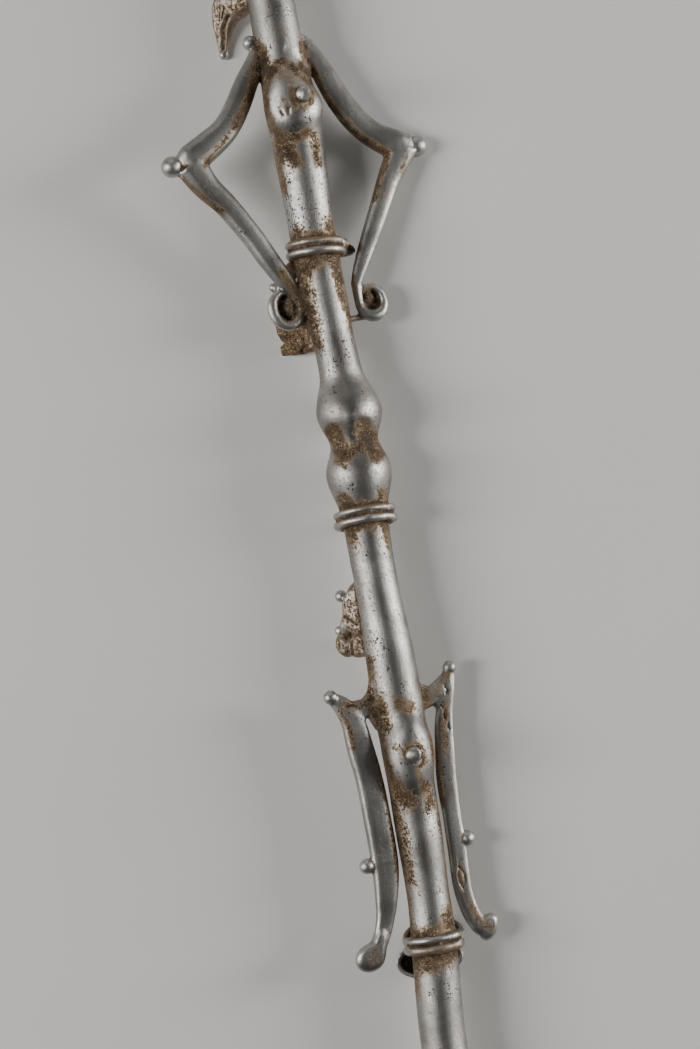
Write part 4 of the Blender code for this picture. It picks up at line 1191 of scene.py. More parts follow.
class STAFF_OT_hanging_arms(Operator):
    """Makes the lower pair of arms, which hang as flat straps"""
    bl_idname = "staff.hanging_arms"
    bl_label = "Hanging Arms"

    def execute(self, context):
        sizes = context.scene.staff_sizes
        hanging_arm("left_strap", sizes, LEFT_STRAP, LEFT_WEB,
                    (STRAP_SHOULDER_LEFT, STRAP_STUD_LEFT), FOOT_LEFT)
        hanging_arm("right_strap", sizes, RIGHT_STRAP, RIGHT_WEB,
                    (STRAP_SHOULDER_RIGHT, STRAP_STUD_RIGHT), FOOT_RIGHT)
        return {"FINISHED"}


class STAFF_OT_lugs(Operator):
    """Makes the three lugs along the back with their balls"""
    bl_idname = "staff.lugs"
    bl_label = "Lugs"

    def execute(self, context):
        sizes = context.scene.staff_sizes
        lean = sizes.lug_lean
        lug("lug_head", sizes, LUG_HEAD, square=HOOK_SQUARENESS)
        lug("lug_chest", sizes, LUG_CHEST_ARM)
        block = [(-out, height) for out, height in LUG_CHEST_BLOCK]
        plate("lug_chest_block", block, CHEST_BLOCK_HALF_DEPTH, -lean)
        body = [(-out, height) for out, height in LUG_THIGH_BODY]
        pebble("lug_thigh_body", body, THIGH_BODY_HALF_DEPTH, THIGH_BODY_ROUNDING, -lean)
        for i, outline in enumerate(LUG_THIGH_LOBES):
            lobe = [(-out, height) for out, height in outline]
            pebble(f"lug_thigh_lobe_{i + 1}", lobe, THIGH_LOBE_HALF_DEPTH, THIGH_LOBE_ROUNDING,
                   -lean)
        points = []
        for out, height, radius in LUG_BALLS:
            points.append(round_ball(on_lug(sizes, out, height), radius))
        balls("lug_balls", points)
        return {"FINISHED"}


class STAFF_OT_dish(Operator):
    """Makes the shallow dish behind the shaft, on its stem"""
    bl_idname = "staff.dish"
    bl_label = "Dish"

    def execute(self, context):
        sizes = context.scene.staff_sizes
        outer = (sizes.dish_half_width, sizes.dish_half_length, sizes.dish_depth)
        inner = [half - sizes.dish_wall for half in outer]
        quarter = [0.5 * math.pi * i / DISH_STEPS for i in range(DISH_STEPS + 1)]
        profile = [(around, outer) for around in quarter]
        profile += [(around, inner) for around in reversed(quarter)]
        turns = [2.0 * math.pi * k / DISH_SIDES for k in range(DISH_SIDES)]
        work = bmesh.new()
        rows = []
        for around, half in profile:
            across, depth = math.sin(around), -math.cos(around) * half[2]
            if around == 0.0:
                rows.append([work.verts.new((0.0, 0.0, depth))])
                continue
            rows.append([work.verts.new((across * half[0] * math.cos(turn),
                                         across * half[1] * math.sin(turn),
                                         depth)) for turn in turns])
        for low, high in zip(rows, rows[1:]):
            for k in range(DISH_SIDES):
                after = (k + 1) % DISH_SIDES
                if len(low) == 1:
                    work.faces.new((low[0], high[after], high[k]))
                elif len(high) == 1:
                    work.faces.new((low[k], low[after], high[0]))
                else:
                    work.faces.new((low[k], low[after], high[after], high[k]))
        bmesh.ops.recalc_face_normals(work, faces=work.faces)
        x = float(middle_line(DISH_AT)) + DISH_SHIFT
        bmesh.ops.translate(work, verts=work.verts, vec=(x, DISH_AT, -sizes.dish_rim_back))
        mesh = bpy.data.meshes.new("dish")
        work.to_mesh(mesh)
        work.free()
        add_member("dish", mesh)
        depth = sizes.dish_rim_back + sizes.dish_depth - 0.5 * sizes.dish_wall
        stem = [(0.0, DISH_AT, 0.0, sizes.dish_stem),
                (DISH_SHIFT, DISH_AT, -depth, sizes.dish_stem)]
        bars("dish_stem", [stem])
        return {"FINISHED"}


# Shares of the way to the neighbours' mean: shrink and swell of a pass that evens the skin
# out, and how far a pass fills a crease
EVEN_SHRINK = 0.50
EVEN_SWELL = 0.52
CREASE_FILL = 0.6

# Hammered waves and grit: height, size of the features and seed
WAVES = ((0.00016, 0.0220, 5), (0.00006, 0.0060, 9))
GRIT = ((0.00026, 0.0026, 15), (0.00013, 0.0012, 17))

# Where the lugs begin to the left of the middle line and behind it, as faded edges
LUG_SIDE_EDGE = (0.0086, 0.0098)
LUG_BACK_EDGE = (0.0, 0.0015)

# Rubbed rim round a lug's ball, in shares of its radius
BALL_RIM = (0.85, 1.3)

# Passes of blur that find the broad hollows and the tight creases
BROAD_PASSES = 40
TIGHT_PASSES = 8

# Hollowness, in metres, between which residue, shade and wear set in
BROAD_CREASE = (0.00002, 0.00026)
TIGHT_CREASE = (0.00004, 0.00014)
DEEP_HOLLOW = (0.00030, 0.00090)
DARK_CREASE = (0.00004, 0.00013)
RUBBED_CREST = (0.00003, 0.00012)

# Painted shade darkens the floors of the scrolls only, below this height, and not the free strand
# end
SHADED_FLOOR_BELOW = 0.5900

# A stroke of residue is full up to the first share of its half width and ends at the second,
# and so is the dirt in a ring's groove
STROKE_EDGE = (0.3, 1.6)
GROOVE_EDGE = (0.3, 1.0)

# A cluster of pits thins out between these shares of its spread
CLUSTER_EDGE = (0.4, 1.7)

# Largest pits: least and greatest half width in millimetres, and depth to half width
PIT_HALF_WIDTHS = (0.36, 0.62)
PIT_DEPTH_SHARE = 0.32


class Skin:
    """The casting's skin as arrays, for work on all its points at once."""

    def __init__(self, mesh):
        self.mesh = mesh
        self.places = np.empty(3 * len(mesh.vertices))
        mesh.vertices.foreach_get("co", self.places)
        self.places = self.places.reshape(-1, 3)
        ends = np.empty(2 * len(mesh.edges), dtype=np.int64)
        mesh.edges.foreach_get("vertices", ends)
        self.ends = ends.reshape(-1, 2)
        count = len(self.places)
        self.degree = np.bincount(self.ends.ravel(), minlength=count).astype(float)

    def near_mean(self, values):
        """Mean of each point's neighbours."""
        a, b = self.ends[:, 0], self.ends[:, 1]
        count = len(self.degree)
        if values.ndim == 1:
            total = np.bincount(a, values[b], count) + np.bincount(b, values[a], count)
            return total / self.degree
        return np.stack([self.near_mean(values[:, k]) for k in range(values.shape[1])], axis=1)

    def blur(self, values, passes):
        """Values evened out over the neighbours."""
        for _ in range(passes):
            values = 0.5 * values + 0.5 * self.near_mean(values)
        return values

    def look(self):
        """Note where each point is seen from the front, and which way it faces."""
        self.seen_at = seen_from_eye(self.places)
        self.facing = self.normals()

    def store(self):
        """Write the points back to the mesh."""
        self.mesh.vertices.foreach_set("co", self.places.ravel())
        self.mesh.update()

    def normals(self):
        """Which way each point's skin faces now."""
        self.store()
        found = np.empty(3 * len(self.places), dtype=np.float32)
        self.mesh.vertex_normals.foreach_get("vector", found)
        return found.reshape(-1, 3).astype(float)

    def even_out(self, passes):
        """Take the cells' steps out without shrinking the thin members much."""
        for _ in range(passes):
            self.places += EVEN_SHRINK * (self.near_mean(self.places) - self.places)
            self.places -= EVEN_SWELL * (self.near_mean(self.places) - self.places)

    def fill_creases(self, passes):
        """Round the hollow creases only, as molten metal does."""
        for _ in range(passes):
            normals = self.normals()
            pull = self.near_mean(self.places) - self.places
            hollow = np.einsum("ij,ij->i", pull, normals)
            self.places += CREASE_FILL * pull * (hollow > 0.0)[:, None]

    def hollowness(self, passes):
        """How deep each point lies in a hollow, in metres; below zero on crests."""
        normals = self.normals()
        return np.einsum("ij,ij->i", self.blur(self.places, passes) - self.places, normals)

    def near_front(self, line, reach):
        """Points of the front that are seen within reach of a line, with their distances."""
        path = np.array(line)
        low = path.min(axis=0) - reach
        high = path.max(axis=0) + reach
        height = self.seen_at[:, 1]
        near = np.flatnonzero((height > low[1]) & (height < high[1]))
        side = self.seen_at[near, 0]
        near = near[(side > low[0]) & (side < high[0]) & (self.facing[near, 2] > 0.0)]
        gap = gap_to_line(self.seen_at[near], path)
        return near[gap < reach], gap[gap < reach]

    def press(self, line, half_width, depth):
        """Push the front in along a line; a depth below zero raises it."""
        near, gap = self.near_front(line, half_width)
        fade = np.cos(0.5 * math.pi * gap / half_width) ** 2
        self.places[near] -= (depth * fade)[:, None] * self.facing[near]
        return near, fade

    def keep(self, name, values):
        """Store values from 0 to 1 as an attribute that the finish reads."""
        layer = self.mesh.attributes.new(name, "FLOAT", "POINT")
        layer.data.foreach_set("value", np.clip(values, 0.0, 1.0).astype(np.float32))


def ramp(values, low, high):
    """Smooth step from 0 at low to 1 at high."""
    t = np.clip((values - low) / (high - low), 0.0, 1.0)
    return t * t * (3.0 - 2.0 * t)


def cloud(places, size, seed):
    """Smooth random values between about -1 and 1, with features of a size in metres."""
    shift = Vector((seed * 3.1, seed * 1.7, seed * 2.3))
    return np.array([noise.noise(Vector(place) / size + shift) for place in places])


def gap_to_line(spots, line):
    """Distance of each spot to a line through points of its plane."""
    nearest = np.full(len(spots), np.inf)
    for start, end in zip(line[:-1], line[1:]):
        along = end - start
        share_along = np.clip((spots - start) @ along / max(along @ along, 1e-12), 0.0, 1.0)
        gap = np.linalg.norm(spots - start - share_along[:, None] * along, axis=1)
        nearest = np.minimum(nearest, gap)
    return nearest


def is_inside(spots, outline):
    """Whether each spot lies within a closed outline."""
    inside = np.zeros(len(spots), dtype=bool)
    for start, end in zip(outline, np.roll(outline, -1, axis=0)):
        crossed = (start[1] > spots[:, 1]) != (end[1] > spots[:, 1])
        slope = (end[0] - start[0]) / (end[1] - start[1] + 1e-12)
        inside ^= crossed & (spots[:, 0] < start[0] + (spots[:, 1] - start[1]) * slope)
    return inside


def raise_navel(sizes, skin, outline, brow, tail):
    """Swell the shaft's front within an outline, with slopes of given runs at its ends."""
    edge = np.array(outline)
    top, bottom = edge[:, 1].max(), edge[:, 1].min()
    spots = seen_from_eye(skin.places)
    side = skin.places[:, 0] - middle_line(skin.places[:, 1])
    outwards = np.stack((side, skin.places[:, 2]), axis=1)
    reach = np.linalg.norm(outwards, axis=1)
    near = np.flatnonzero(is_inside(spots, edge) & (reach < NAVEL_REACH))
    depth = gap_to_line(spots[near], np.vstack((edge, edge[:1])))
    down = (top - spots[near, 1]) / (top - bottom)
    slope = brow + (tail - brow) * ramp(down, *NAVEL_SLOPE_CHANGE)
    lift = np.zeros(len(spots))
    lift[near] = sizes.navel_proud * ramp(depth, 0.0, slope)
    lift[near] *= ramp(skin.places[near, 2], *NAVEL_FADE)
    lift = skin.blur(lift, sizes.navel_rounding)
    way = outwards / np.maximum(reach, 1e-6)[:, None]
    skin.places[:, 0] += lift * way[:, 0]
    skin.places[:, 2] += lift * way[:, 1]


def work_front(sizes, skin):
    """Raise the navels, and press the hollows and the lugs' grooves into the front."""
    raise_navel(sizes, skin, NAVEL_HIGH, sizes.high_brow, sizes.high_tail)
    raise_navel(sizes, skin, NAVEL_LOW, sizes.low_brow, sizes.low_tail)
    skin.look()
    for half_width, depth, line in HOLLOWS:
        skin.press(MM * np.array(line), MM * half_width, MM * depth)
    skin.look()
    for half_width, depth, line in GROOVES:
        skin.press(MM * np.array(line), MM * half_width, MM * depth)
    skin.look()


def roughen(sizes, skin):
    """Uneven hammered surface, rougher on the lugs."""
    wave = sum(rise * cloud(skin.places, size, seed) for rise, size, seed in WAVES)
    grit = sum(rise * cloud(skin.places, size, seed) for rise, size, seed in GRIT)
    wave += grit * (lug_share(sizes, skin) + 2.0 * grit_share(skin))
    skin.places += wave[:, None] * skin.facing
    skin.look()


def lug_share(sizes, skin):
    """How far each point belongs to a lug with pale dust, but not to the rubbed balls on it."""
    spots = skin.seen_at
    behind = ramp(-skin.places[:, 2], *LUG_BACK_EDGE) * ramp(-spots[:, 0], *LUG_SIDE_EDGE)
    shares = np.zeros(len(spots))
    for low, high, strength in DUSTY_LUGS:
        within = (spots[:, 1] > low) & (spots[:, 1] < high)
        shares[within] = strength * behind[within]
    for out, height, radius in LUG_BALLS:
        ball = seen_from_eye(np.array([on_lug(sizes, out, height)]))
        gap = np.linalg.norm(spots - ball, axis=1)
        shares *= ramp(gap, BALL_RIM[0] * radius, BALL_RIM[1] * radius)
    return shares


def grit_share(skin):
    """How far each point belongs to a scroll's gritty floor or the free strand end."""
    shares = np.zeros(len(skin.seen_at))
    for side, height, reach in GRITTY_SPOTS:
        gap = np.linalg.norm(skin.seen_at - np.array((side, height)), axis=1)
        shares = np.maximum(shares, 1.0 - ramp(gap, 0.6 * reach, reach))
    return shares * (skin.facing[:, 2] > 0.0)


def eat_pits(skin):
    """Small craters in clusters; gives the share of eaten skin, and where it is pitted."""
    eaten = np.zeros(len(skin.places))
    for half_width, depth, line in CRACKS:
        near, fade = skin.press(MM * np.array(line), MM * half_width, MM * depth)
        eaten[near] = np.maximum(eaten[near], fade)
    pitted = 0.35 * ramp(cloud(skin.places, 0.020, 21), 0.05, 0.45)
    for side, height, spread, count in PITS:
        middle = MM * np.array(((side, height - 0.5 * spread), (side, height + 0.5 * spread)))
        full, end = (MM * part * spread for part in CLUSTER_EDGE)
        near, gap = skin.near_front(middle, end)
        crowd = min(1.0, 0.45 + 0.07 * count) * (1.0 - ramp(gap, full, end))
        pitted[near] = np.maximum(pitted[near], crowd)
        for _ in range(count // 3):
            at = (random.gauss(side, 0.5 * spread), random.gauss(height, 0.7 * spread))
            tail = (at[0] + random.gauss(0.0, 0.15), at[1] + random.gauss(0.0, 0.35))
            half = MM * random.uniform(*PIT_HALF_WIDTHS)
            near, fade = skin.press(MM * np.array((at, tail)), half, PIT_DEPTH_SHARE * half)
            eaten[near] = np.maximum(eaten[near], fade)
    return eaten, pitted


def painted(sizes, skin):
    """Share of brown residue, and of painted shade on the high navel's brow, that lies on each
    point of the front.
    """
    paint = np.maximum(lug_share(sizes, skin), grit_share(skin))
    for half_width, strength, line in RESIDUE_AND_SHADE:
        full, end = (MM * part * half_width for part in STROKE_EDGE)
        near, gap = skin.near_front(MM * np.array(line), end)
        paint[near] = np.maximum(paint[near], strength * (1.0 - ramp(gap, full, end)))
    return paint


def groove_dirt(sizes, skin):
    """How far each point belongs to the dirt between the strands of a ring."""
    dirt = np.zeros(len(skin.places))
    for k, ring in enumerate(RINGS):
        full, end = (part * sizes.groove_half_width for part in GROOVE_EDGE)
        near, gap = skin.near_front(groove_line(sizes, ring, 7.0 * k + 3.0), end)
        dirt[near] = np.maximum(dirt[near], 1.0 - ramp(gap, full, end))
    return dirt


def lay_finish(sizes, skin):
    """Eat the pits, and keep the attributes that the finish reads, painted shade among them."""
    hollow = skin.hollowness(BROAD_PASSES)
    tight = skin.hollowness(TIGHT_PASSES)
    patchy = cloud(skin.places, 0.0060, 3)
    creases = np.maximum(ramp(hollow + 0.00010 * patchy, *BROAD_CREASE),
                         ramp(tight, *TIGHT_CREASE))
    residue = np.maximum(0.95 * creases, painted(sizes, skin)) + 0.14 * patchy
    eaten, pitted = eat_pits(skin)
    lugs = lug_share(sizes, skin)
    grit = grit_share(skin)
    dirt = groove_dirt(sizes, skin)
    dusty_unshaded = 0.45 + 0.45 * lugs + 0.5 * cloud(skin.places, 0.0110, 31) - 0.8 * dirt
    # Painted shade: the residue is made darker in tight creases and deep hollows, and on the
    # scrolls' floors below a height
    dusty_unshaded -= 0.75 * ramp(tight, *DARK_CREASE) + 0.35 * ramp(hollow, *DEEP_HOLLOW)
    dusty_unshaded -= 0.50 * grit * (skin.seen_at[:, 1] < SHADED_FLOOR_BELOW)
    worn = ramp(-tight, *RUBBED_CREST) * (1.0 - 0.8 * np.maximum(lugs, grit))
    skin.keep("residue", np.maximum(residue, 1.6 * dirt))
    skin.keep("dusty_unshaded", dusty_unshaded)
    skin.keep("worn", worn)
    skin.keep("eaten", eaten)
    skin.keep("pitted", pitted)


def fuse_members(sizes):
    """All members fused to one closed skin."""
    work = bmesh.new()
    for member in workshop().objects:
        work.from_mesh(member.data)
    joined = bpy.data.meshes.new("joined")
    work.to_mesh(joined)
    work.free()
    block = bpy.data.objects.new("joined", joined)
    bpy.context.scene.collection.objects.link(block)
    melt = block.modifiers.new("melt together", "REMESH")
    melt.mode = "VOXEL"
    melt.voxel_size = sizes.grain
    melt.adaptivity = 0.0
    fused = plain_mesh(block)
    bpy.data.objects.remove(block, do_unlink=True)
    for member in list(workshop().objects):
        bpy.data.objects.remove(member, do_unlink=True)
    bpy.data.collections.remove(workshop())
    return fused


def rest_depth(sizes):
    """How far the middle line lies above the floor."""
    return sizes.elbow_stud - REST_SINK + RIGHT_ELBOW[0] * math.sin(sizes.figure_turn)


def keep_in_box(places):
    """Bring points that lie past the CAD staff's box back to it."""
    np.clip(places, np.array(STAFF_LOW), np.array(STAFF_HIGH), out=places)


def set_down(sizes, places):
    """Move the points to where the CAD staff lies."""
    left = float(middle_line(LEFT_ELBOW[1])) + LEFT_ELBOW[0] * math.cos(sizes.figure_turn)
    shift = STAFF_LOW.x - (left - sizes.elbow_stud)
    places += np.array((shift, STAFF_LOW.y, STAFF_LOW.z + rest_depth(sizes)))
    keep_in_box(places)


def thin(mesh, triangles):
    """Fewer triangles where the skin is smooth."""
    count = sum(len(face.vertices) - 2 for face in mesh.polygons)
    if count <= triangles:
        return mesh
    block = bpy.data.objects.new("thin", mesh)
    bpy.context.scene.collection.objects.link(block)
    fewer = block.modifiers.new("fewer", "DECIMATE")
    fewer.ratio = triangles / count
    thinned = plain_mesh(block)
    bpy.data.objects.remove(block, do_unlink=True)
    return thinned


def drop_specks(mesh):
    """Leave only the outer skin, without specks that the fusing shut inside it."""
    work = bmesh.new()
    work.from_mesh(mesh)
    unseen = set(work.verts)
    skin = set()
    while unseen:
        shell = {unseen.pop()}
        rim = list(shell)
        while rim:
            vertex = rim.pop()
            fresh = {edge.other_vert(vertex) for edge in vertex.link_edges} - shell
            shell |= fresh
            rim.extend(fresh)
        unseen -= shell
        skin = max(skin, shell, key=len)
    specks = [vertex for vertex in work.verts if vertex not in skin]
    bmesh.ops.delete(work, geom=specks, context="VERTS")
    work.to_mesh(mesh)
    work.free()


class STAFF_OT_casting(Operator):
    """Fuses the members to one casting, works its surface and gives it the iron finish"""
    bl_idname = "staff.casting"
    bl_label = "Casting"

    def execute(self, context):
        sizes = context.scene.staff_sizes
        mesh = fuse_members(sizes)
        skin = Skin(mesh)
        skin.even_out(3)
        skin.fill_creases(sizes.fillet_passes)
        skin.even_out(2)
        work_front(sizes, skin)
        roughen(sizes, skin)
        lay_finish(sizes, skin)
        set_down(sizes, skin.places)
        skin.store()
        mesh = thin(mesh, sizes.triangles)
        drop_specks(mesh)
        thinned = Skin(mesh)
        keep_in_box(thinned.places)
        thinned.store()
        mesh.name = "staff_casting"
        mesh.materials.clear()
        mesh.materials.append(worn_iron(context.scene.staff_look))
        mesh.shade_smooth()
        piece = bpy.data.objects.new("staff_casting", mesh)
        context.scene.collection.objects.link(piece)
        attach(piece, "root")
        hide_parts("staff")
        return {"FINISHED"}


def rgba(value):
    """A colour with full cover."""
    return (*value, 1.0)


def mixed(tree, factor, first, second, kind="RGBA"):
    """Mix node's result; first and second are sockets or values."""
    node = add_node(tree, "ShaderNodeMix", data_type=kind)
    if kind == "RGBA":
        sockets = (node.inputs[0], node.inputs[6], node.inputs[7])
        out = node.outputs[2]
    else:
        sockets = (node.inputs[0], node.inputs[2], node.inputs[3])
        out = node.outputs[0]
    for socket, value in zip(sockets, (factor, first, second)):
        feed(tree, socket, value)
    return out


def stepped(tree, value, low, high, start=0.0, end=1.0):
    """Smooth step of a value between two limits."""
    node = add_node(tree, "ShaderNodeMapRange", {
        "Value": value,
        "From Min": low,
        "From Max": high,
        "To Min": start,
        "To Max": end,
    }, interpolation_type="SMOOTHSTEP")
    return node.outputs["Result"]


def cloudy(tree, place, scale, detail, roughness, twist=0.0):
    """Random values between about 0.3 and 0.7, with scale cells to the metre."""
    return add_node(tree, "ShaderNodeTexNoise", {
        "Vector": place,
        "Scale": scale,
        "Detail": detail,
        "Roughness": roughness,
        "Distortion": twist,
    }).outputs["Fac"]


def attribute(tree, name):
    """An attribute of the skin."""
    return add_node(tree, "ShaderNodeAttribute", attribute_name=name).outputs["Fac"]


def leaning(tree, value, amount):
    """A texture's value as a shift to both sides of zero."""
    return maths(tree, "MULTIPLY", maths(tree, "SUBTRACT", value, 0.5), amount)


def fine_pits(tree, place):
    """Small eaten spots of uneven shape, more of them where the skin is pitted."""
    bent = add_node(tree, "ShaderNodeMix", data_type="VECTOR", blend_type="MIX")
    warp = add_node(tree, "ShaderNodeTexNoise", {"Vector": place, "Scale": 1400.0, "Detail": 3.0})
    bent.inputs[0].default_value = 0.0011
    tree.links.new(place, bent.inputs[4])
    tree.links.new(warp.outputs["Color"], bent.inputs[5])
    cells = add_node(tree, "ShaderNodeTexVoronoi", {"Scale": 1050.0}, feature="F1")
    tree.links.new(bent.outputs[1], cells.inputs["Vector"])
    chance = add_node(tree, "ShaderNodeSeparateColor", {"Color": cells.outputs["Color"]})
    many = maths(tree, "MULTIPLY", attribute(tree, "pitted"), 0.50)
    chosen = stepped(tree, maths(tree, "ADD", chance.outputs["Red"], many), 0.95, 1.12)
    size = maths(tree, "MULTIPLY", chosen, 0.44)
    return stepped(tree, maths(tree, "SUBTRACT", size, cells.outputs["Distance"]), -0.02, 0.10)


def iron_patterns(tree, place):
    """Random patterns of the finish, and fine lines rubbed along the shaft."""
    along = add_node(tree, "ShaderNodeMapping", {"Vector": place, "Scale": (1.0, 0.05, 1.0)})
    return {
        "broad": cloudy(tree, place, 45.0, 3.0, 0.5, 0.6),
        "ragged": cloudy(tree, place, 190.0, 8.0, 0.68),
        "fine": cloudy(tree, place, 900.0, 6.0, 0.72),
        "rubbed": cloudy(tree, along.outputs["Vector"], 1500.0, 4.0, 0.6),
        "grain": cloudy(tree, place, 3200.0, 3.0, 0.6),
    }


def residue_cover(tree, ragged, fine):
    """Masks of the residue, broken up towards its edge, and of the thin film round it."""
    laid = attribute(tree, "residue")
    amount = maths(tree, "SUBTRACT", maths(tree, "MULTIPLY", laid, 0.74),
                   maths(tree, "MULTIPLY", attribute(tree, "worn"), 0.45))
    amount = maths(tree, "ADD", amount, leaning(tree, ragged, 1.1))
    amount = maths(tree, "ADD", amount, leaning(tree, fine, 2.9))
    edge = maths(tree, "ADD", laid, leaning(tree, ragged, 0.9))
    edge = maths(tree, "ADD", edge, leaning(tree, fine, 1.1))
    film = maths(tree, "MAXIMUM", stepped(tree, edge, 0.02, 0.70, 0.0, 0.82),
                 stepped(tree, amount, 0.20, 0.56, 0.0, 0.90))
    return stepped(tree, amount, 0.42, 0.70), film


def metal_tone(tree, look, patterns, film):
    """Colour of the metal, brighter on rubbed crests and brown under the film."""
    bright, dull = rgba(look.bright), rgba(look.dull)
    tone = mixed(tree, stepped(tree, patterns["broad"], 0.36, 0.66), bright, dull)
    for name, low, high, most in (("fine", 0.42, 0.68, 0.65), ("rubbed", 0.45, 0.70, 0.40),
                                  ("grain", 0.40, 0.62, 0.35)):
        tone = mixed(tree, stepped(tree, patterns[name], low, high, 0.0, most), tone, dull)
    worn = maths(tree, "MULTIPLY", attribute(tree, "worn"), 0.7, True)
    tone = mixed(tree, worn, tone, bright)
    return mixed(tree, film, tone, rgba(look.film))


def residue_tone(tree, look, ragged, fine, glints):
    """Colour of the residue: pale where dust lies and dark elsewhere, darker still where shade is
    painted into creases, hollows and the scrolls' floors, with black pits and bare specks of
    metal.
    """
    dusty_unshaded = maths(tree, "ADD", attribute(tree, "dusty_unshaded"), leaning(tree, fine, 2.4))
    tone = mixed(tree, stepped(tree, dusty_unshaded, 0.20, 1.25), rgba(look.residue),
                 rgba(look.residue_pale))
    tone = mixed(tree, stepped(tree, ragged, 0.52, 0.66, 0.0, 0.80), tone, rgba(look.pit))
    return mixed(tree, maths(tree, "MULTIPLY", glints, 0.85), tone, rgba(look.glint))


def skin_relief(tree, patterns, residue, pits):
    """Normal of a skin with grain, crusts of residue and sunken pits."""
    crust = maths(tree, "ADD", maths(tree, "MULTIPLY", patterns["fine"], 2.2),
                  maths(tree, "MULTIPLY", patterns["ragged"], 0.8))
    height = maths(tree, "MULTIPLY", residue, crust)
    for name, rise in (("fine", 0.35), ("grain", 0.42), ("rubbed", 0.10)):
        height = maths(tree, "ADD", height, maths(tree, "MULTIPLY", patterns[name], rise))
    height = maths(tree, "SUBTRACT", height, maths(tree, "MULTIPLY", pits, 1.6))
    bump = add_node(tree, "ShaderNodeBump", {
        "Height": height,
        "Strength": 0.80,
        "Distance": 0.00026,
    })
    return bump.outputs["Normal"]


def worn_iron(look):
    """Rubbed grey iron with brown residue in its creases and dark corrosion pits."""
    material = bpy.data.materials.new("worn iron")
    material.use_nodes = True
    tree = material.node_tree
    shader = tree.nodes["Principled BSDF"]
    place = add_node(tree, "ShaderNodeTexCoord").outputs["Object"]
    patterns = iron_patterns(tree, place)
    ragged, fine = patterns["ragged"], patterns["fine"]
    residue, film = residue_cover(tree, ragged, fine)
    eaten = maths(tree, "ADD", attribute(tree, "eaten"), leaning(tree, fine, 0.8))
    pits = maths(tree, "MAXIMUM", stepped(tree, eaten, 0.45, 0.75), fine_pits(tree, place))
    bare = maths(tree, "SUBTRACT", fine, leaning(tree, ragged, 0.6))
    glints = stepped(tree, bare, 0.56, 0.63)

    # Colour
    base = mixed(tree, residue, metal_tone(tree, look, patterns, film),
                 residue_tone(tree, look, ragged, fine, glints))
    base = mixed(tree, pits, base, rgba(look.pit))
    tree.links.new(base, shader.inputs["Base Color"])

    # Metal and gloss: the residue is dull but for its glints
    dry = mixed(tree, glints, 0.84, 0.12, "FLOAT")
    covered = maths(tree, "MAXIMUM", maths(tree, "MULTIPLY", residue, dry), pits)
    tree.links.new(maths(tree, "SUBTRACT", 1.0, covered, True), shader.inputs["Metallic"])
    gloss = stepped(tree, fine, 0.25, 0.75, look.polish - 0.05, look.polish + 0.09)
    gloss = maths(tree, "ADD", gloss, maths(tree, "MULTIPLY", film, 0.22))
    roughness = mixed(tree, covered, gloss, look.residue_roughness, "FLOAT")
    tree.links.new(roughness, shader.inputs["Roughness"])
    tree.links.new(skin_relief(tree, patterns, residue, pits), shader.inputs["Normal"])
    return material


def pale_floor(look):
    """Plain pale floor with a faint grain."""
    material = bpy.data.materials.new("pale floor")
    material.use_nodes = True
    tree = material.node_tree
    shader = tree.nodes["Principled BSDF"]
    place = add_node(tree, "ShaderNodeTexCoord").outputs["Object"]
    grain = cloudy(tree, place, 6.0, 4.0, 0.5)
    paler = tuple(min(1.0, 1.06 * value) for value in look.floor)
    tone = mixed(tree, grain, rgba(look.floor), rgba(paler))
    tree.links.new(tone, shader.inputs["Base Color"])
    shader.inputs["Roughness"].default_value = 0.9
    return material


def soft_light(name, place, aim, width, height, power):
    """A warm light panel at a place, turned to what it lights."""
    lamp = bpy.data.lights.new(name, "AREA")
    lamp.shape = "RECTANGLE"
    lamp.size = width
    lamp.size_y = height
    lamp.energy = power
    lamp.color = LAMP_TINT
    holder = bpy.data.objects.new(name, lamp)
    bpy.context.scene.collection.objects.link(holder)
    holder.location = place
    holder.rotation_euler = (Vector(aim) - Vector(place)).to_track_quat("-Z", "Y").to_euler()


# Tints of the lamps and the room, and half the floor's width
LAMP_TINT = (1.0, 0.985, 0.96)
ROOM_TINT = (0.86, 0.93, 1.0)
FLOOR_HALF_WIDTH = 4.0


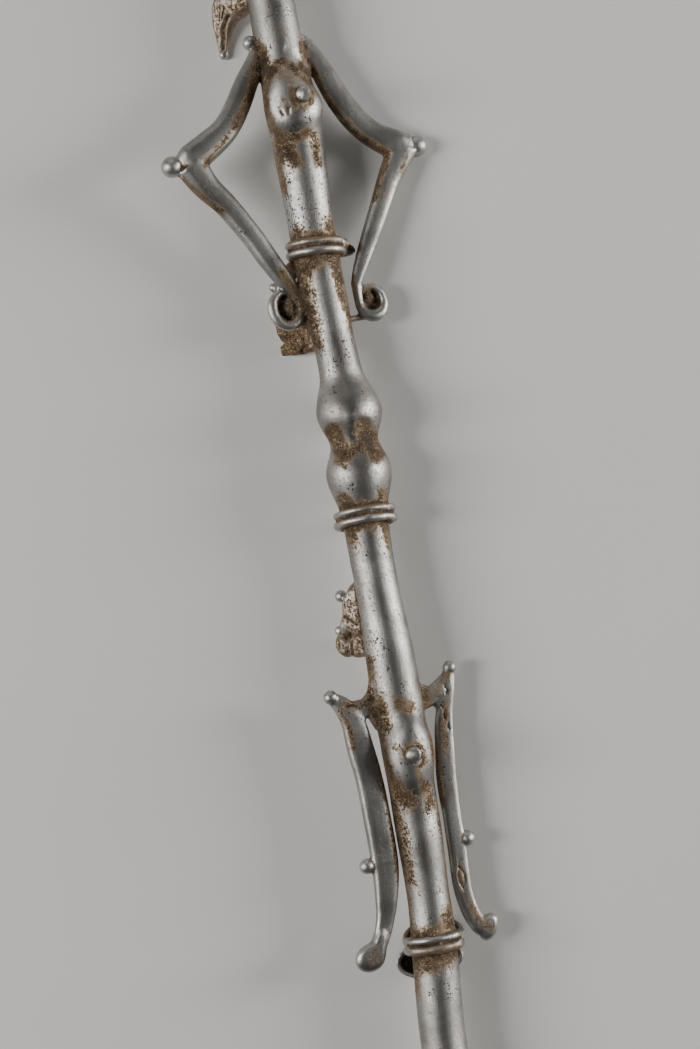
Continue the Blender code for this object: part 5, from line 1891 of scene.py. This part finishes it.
class STAFF_OT_studio(Operator):
    """Makes the pale floor, the soft lights and the camera that looks straight down"""
    bl_idname = "staff.studio"
    bl_label = "Studio"

    def execute(self, context):
        look = context.scene.staff_studio
        scene = context.scene
        floor_mesh = bpy.data.meshes.new("floor")
        work = bmesh.new()
        bmesh.ops.create_grid(work, x_segments=8, y_segments=8, size=FLOOR_HALF_WIDTH)
        work.to_mesh(floor_mesh)
        work.free()
        floor_mesh.materials.append(pale_floor(look))
        floor = bpy.data.objects.new("floor", floor_mesh)
        scene.collection.objects.link(floor)
        floor.location.z = STAFF_LOW.z

        world = bpy.data.worlds.new("room")
        world.use_nodes = True
        sky = world.node_tree.nodes["Background"]
        sky.inputs["Color"].default_value = rgba(ROOM_TINT)
        sky.inputs["Strength"].default_value = look.room
        scene.world = world

        soft_light("left light", (-2.20, 0.32, 1.58), (0.0, 0.12, 0.0), 0.57, 1.6,
                   look.left_power)
        soft_light("right light", (2.10, 0.10, 0.36), (0.0, 0.02, 0.03), 0.53, 1.6,
                   look.right_power)
        soft_light("head light", (0.10, 2.40, 1.00), (0.0, 0.06, 0.0), 1.4, 0.8,
                   look.head_power)

        camera = bpy.data.cameras.new("camera")
        camera.sensor_width = 36.0
        camera.lens = camera.sensor_width * look.camera_distance / look.picture_height
        camera.clip_start = 0.01
        roll = look.camera_roll
        right = Vector((math.cos(roll), -math.sin(roll), 0.0))
        up = Vector((math.sin(roll), math.cos(roll), 0.0))
        holder = bpy.data.objects.new("camera", camera)
        scene.collection.objects.link(holder)
        pose = Matrix((right, up, (0.0, 0.0, 1.0))).transposed().to_4x4()
        axis_height = STAFF_LOW.z + rest_depth(scene.staff_sizes)
        pose.translation = (look.picture_side, look.picture_along,
                            axis_height + look.camera_distance)
        holder.matrix_world = pose
        scene.camera = holder
        return {"FINISHED"}


class STAFF_PT_panel(Panel):
    """Lists the steps that build the staff"""
    bl_idname = "STAFF_PT_panel"
    bl_label = "Ceremonial Staff"
    bl_space_type = "VIEW_3D"
    bl_region_type = "UI"
    bl_category = "Staff"

    def draw(self, context):
        for operator in MAKERS:
            self.layout.operator(operator.bl_idname)
        for group in ("staff_sizes", "staff_look", "staff_studio"):
            box = self.layout.box()
            values = getattr(context.scene, group)
            for name in values.__annotations__:
                box.prop(values, name)


MAKERS = (STAFF_OT_shaft, STAFF_OT_rings, STAFF_OT_navels, STAFF_OT_akimbo_arms,
          STAFF_OT_hanging_arms, STAFF_OT_lugs, STAFF_OT_dish, STAFF_OT_casting,
          STAFF_OT_studio)
CLASSES = (StaffSizes, IronLook, StudioLook, *MAKERS, STAFF_PT_panel)


def register():
    for each in CLASSES:
        bpy.utils.register_class(each)
    bpy.types.Scene.staff_sizes = PointerProperty(type=StaffSizes)
    bpy.types.Scene.staff_look = PointerProperty(type=IronLook)
    bpy.types.Scene.staff_studio = PointerProperty(type=StudioLook)


def unregister():
    del bpy.types.Scene.staff_studio
    del bpy.types.Scene.staff_look
    del bpy.types.Scene.staff_sizes
    for each in reversed(CLASSES):
        bpy.utils.unregister_class(each)


def main():
    register()
    random.seed(1)
    bpy.ops.staff.shaft()
    bpy.ops.staff.rings()
    bpy.ops.staff.navels()
    bpy.ops.staff.akimbo_arms()
    bpy.ops.staff.hanging_arms()
    bpy.ops.staff.lugs()
    bpy.ops.staff.dish()
    bpy.ops.staff.casting()
    bpy.ops.staff.studio()


if __name__ == "__main__":
    main()
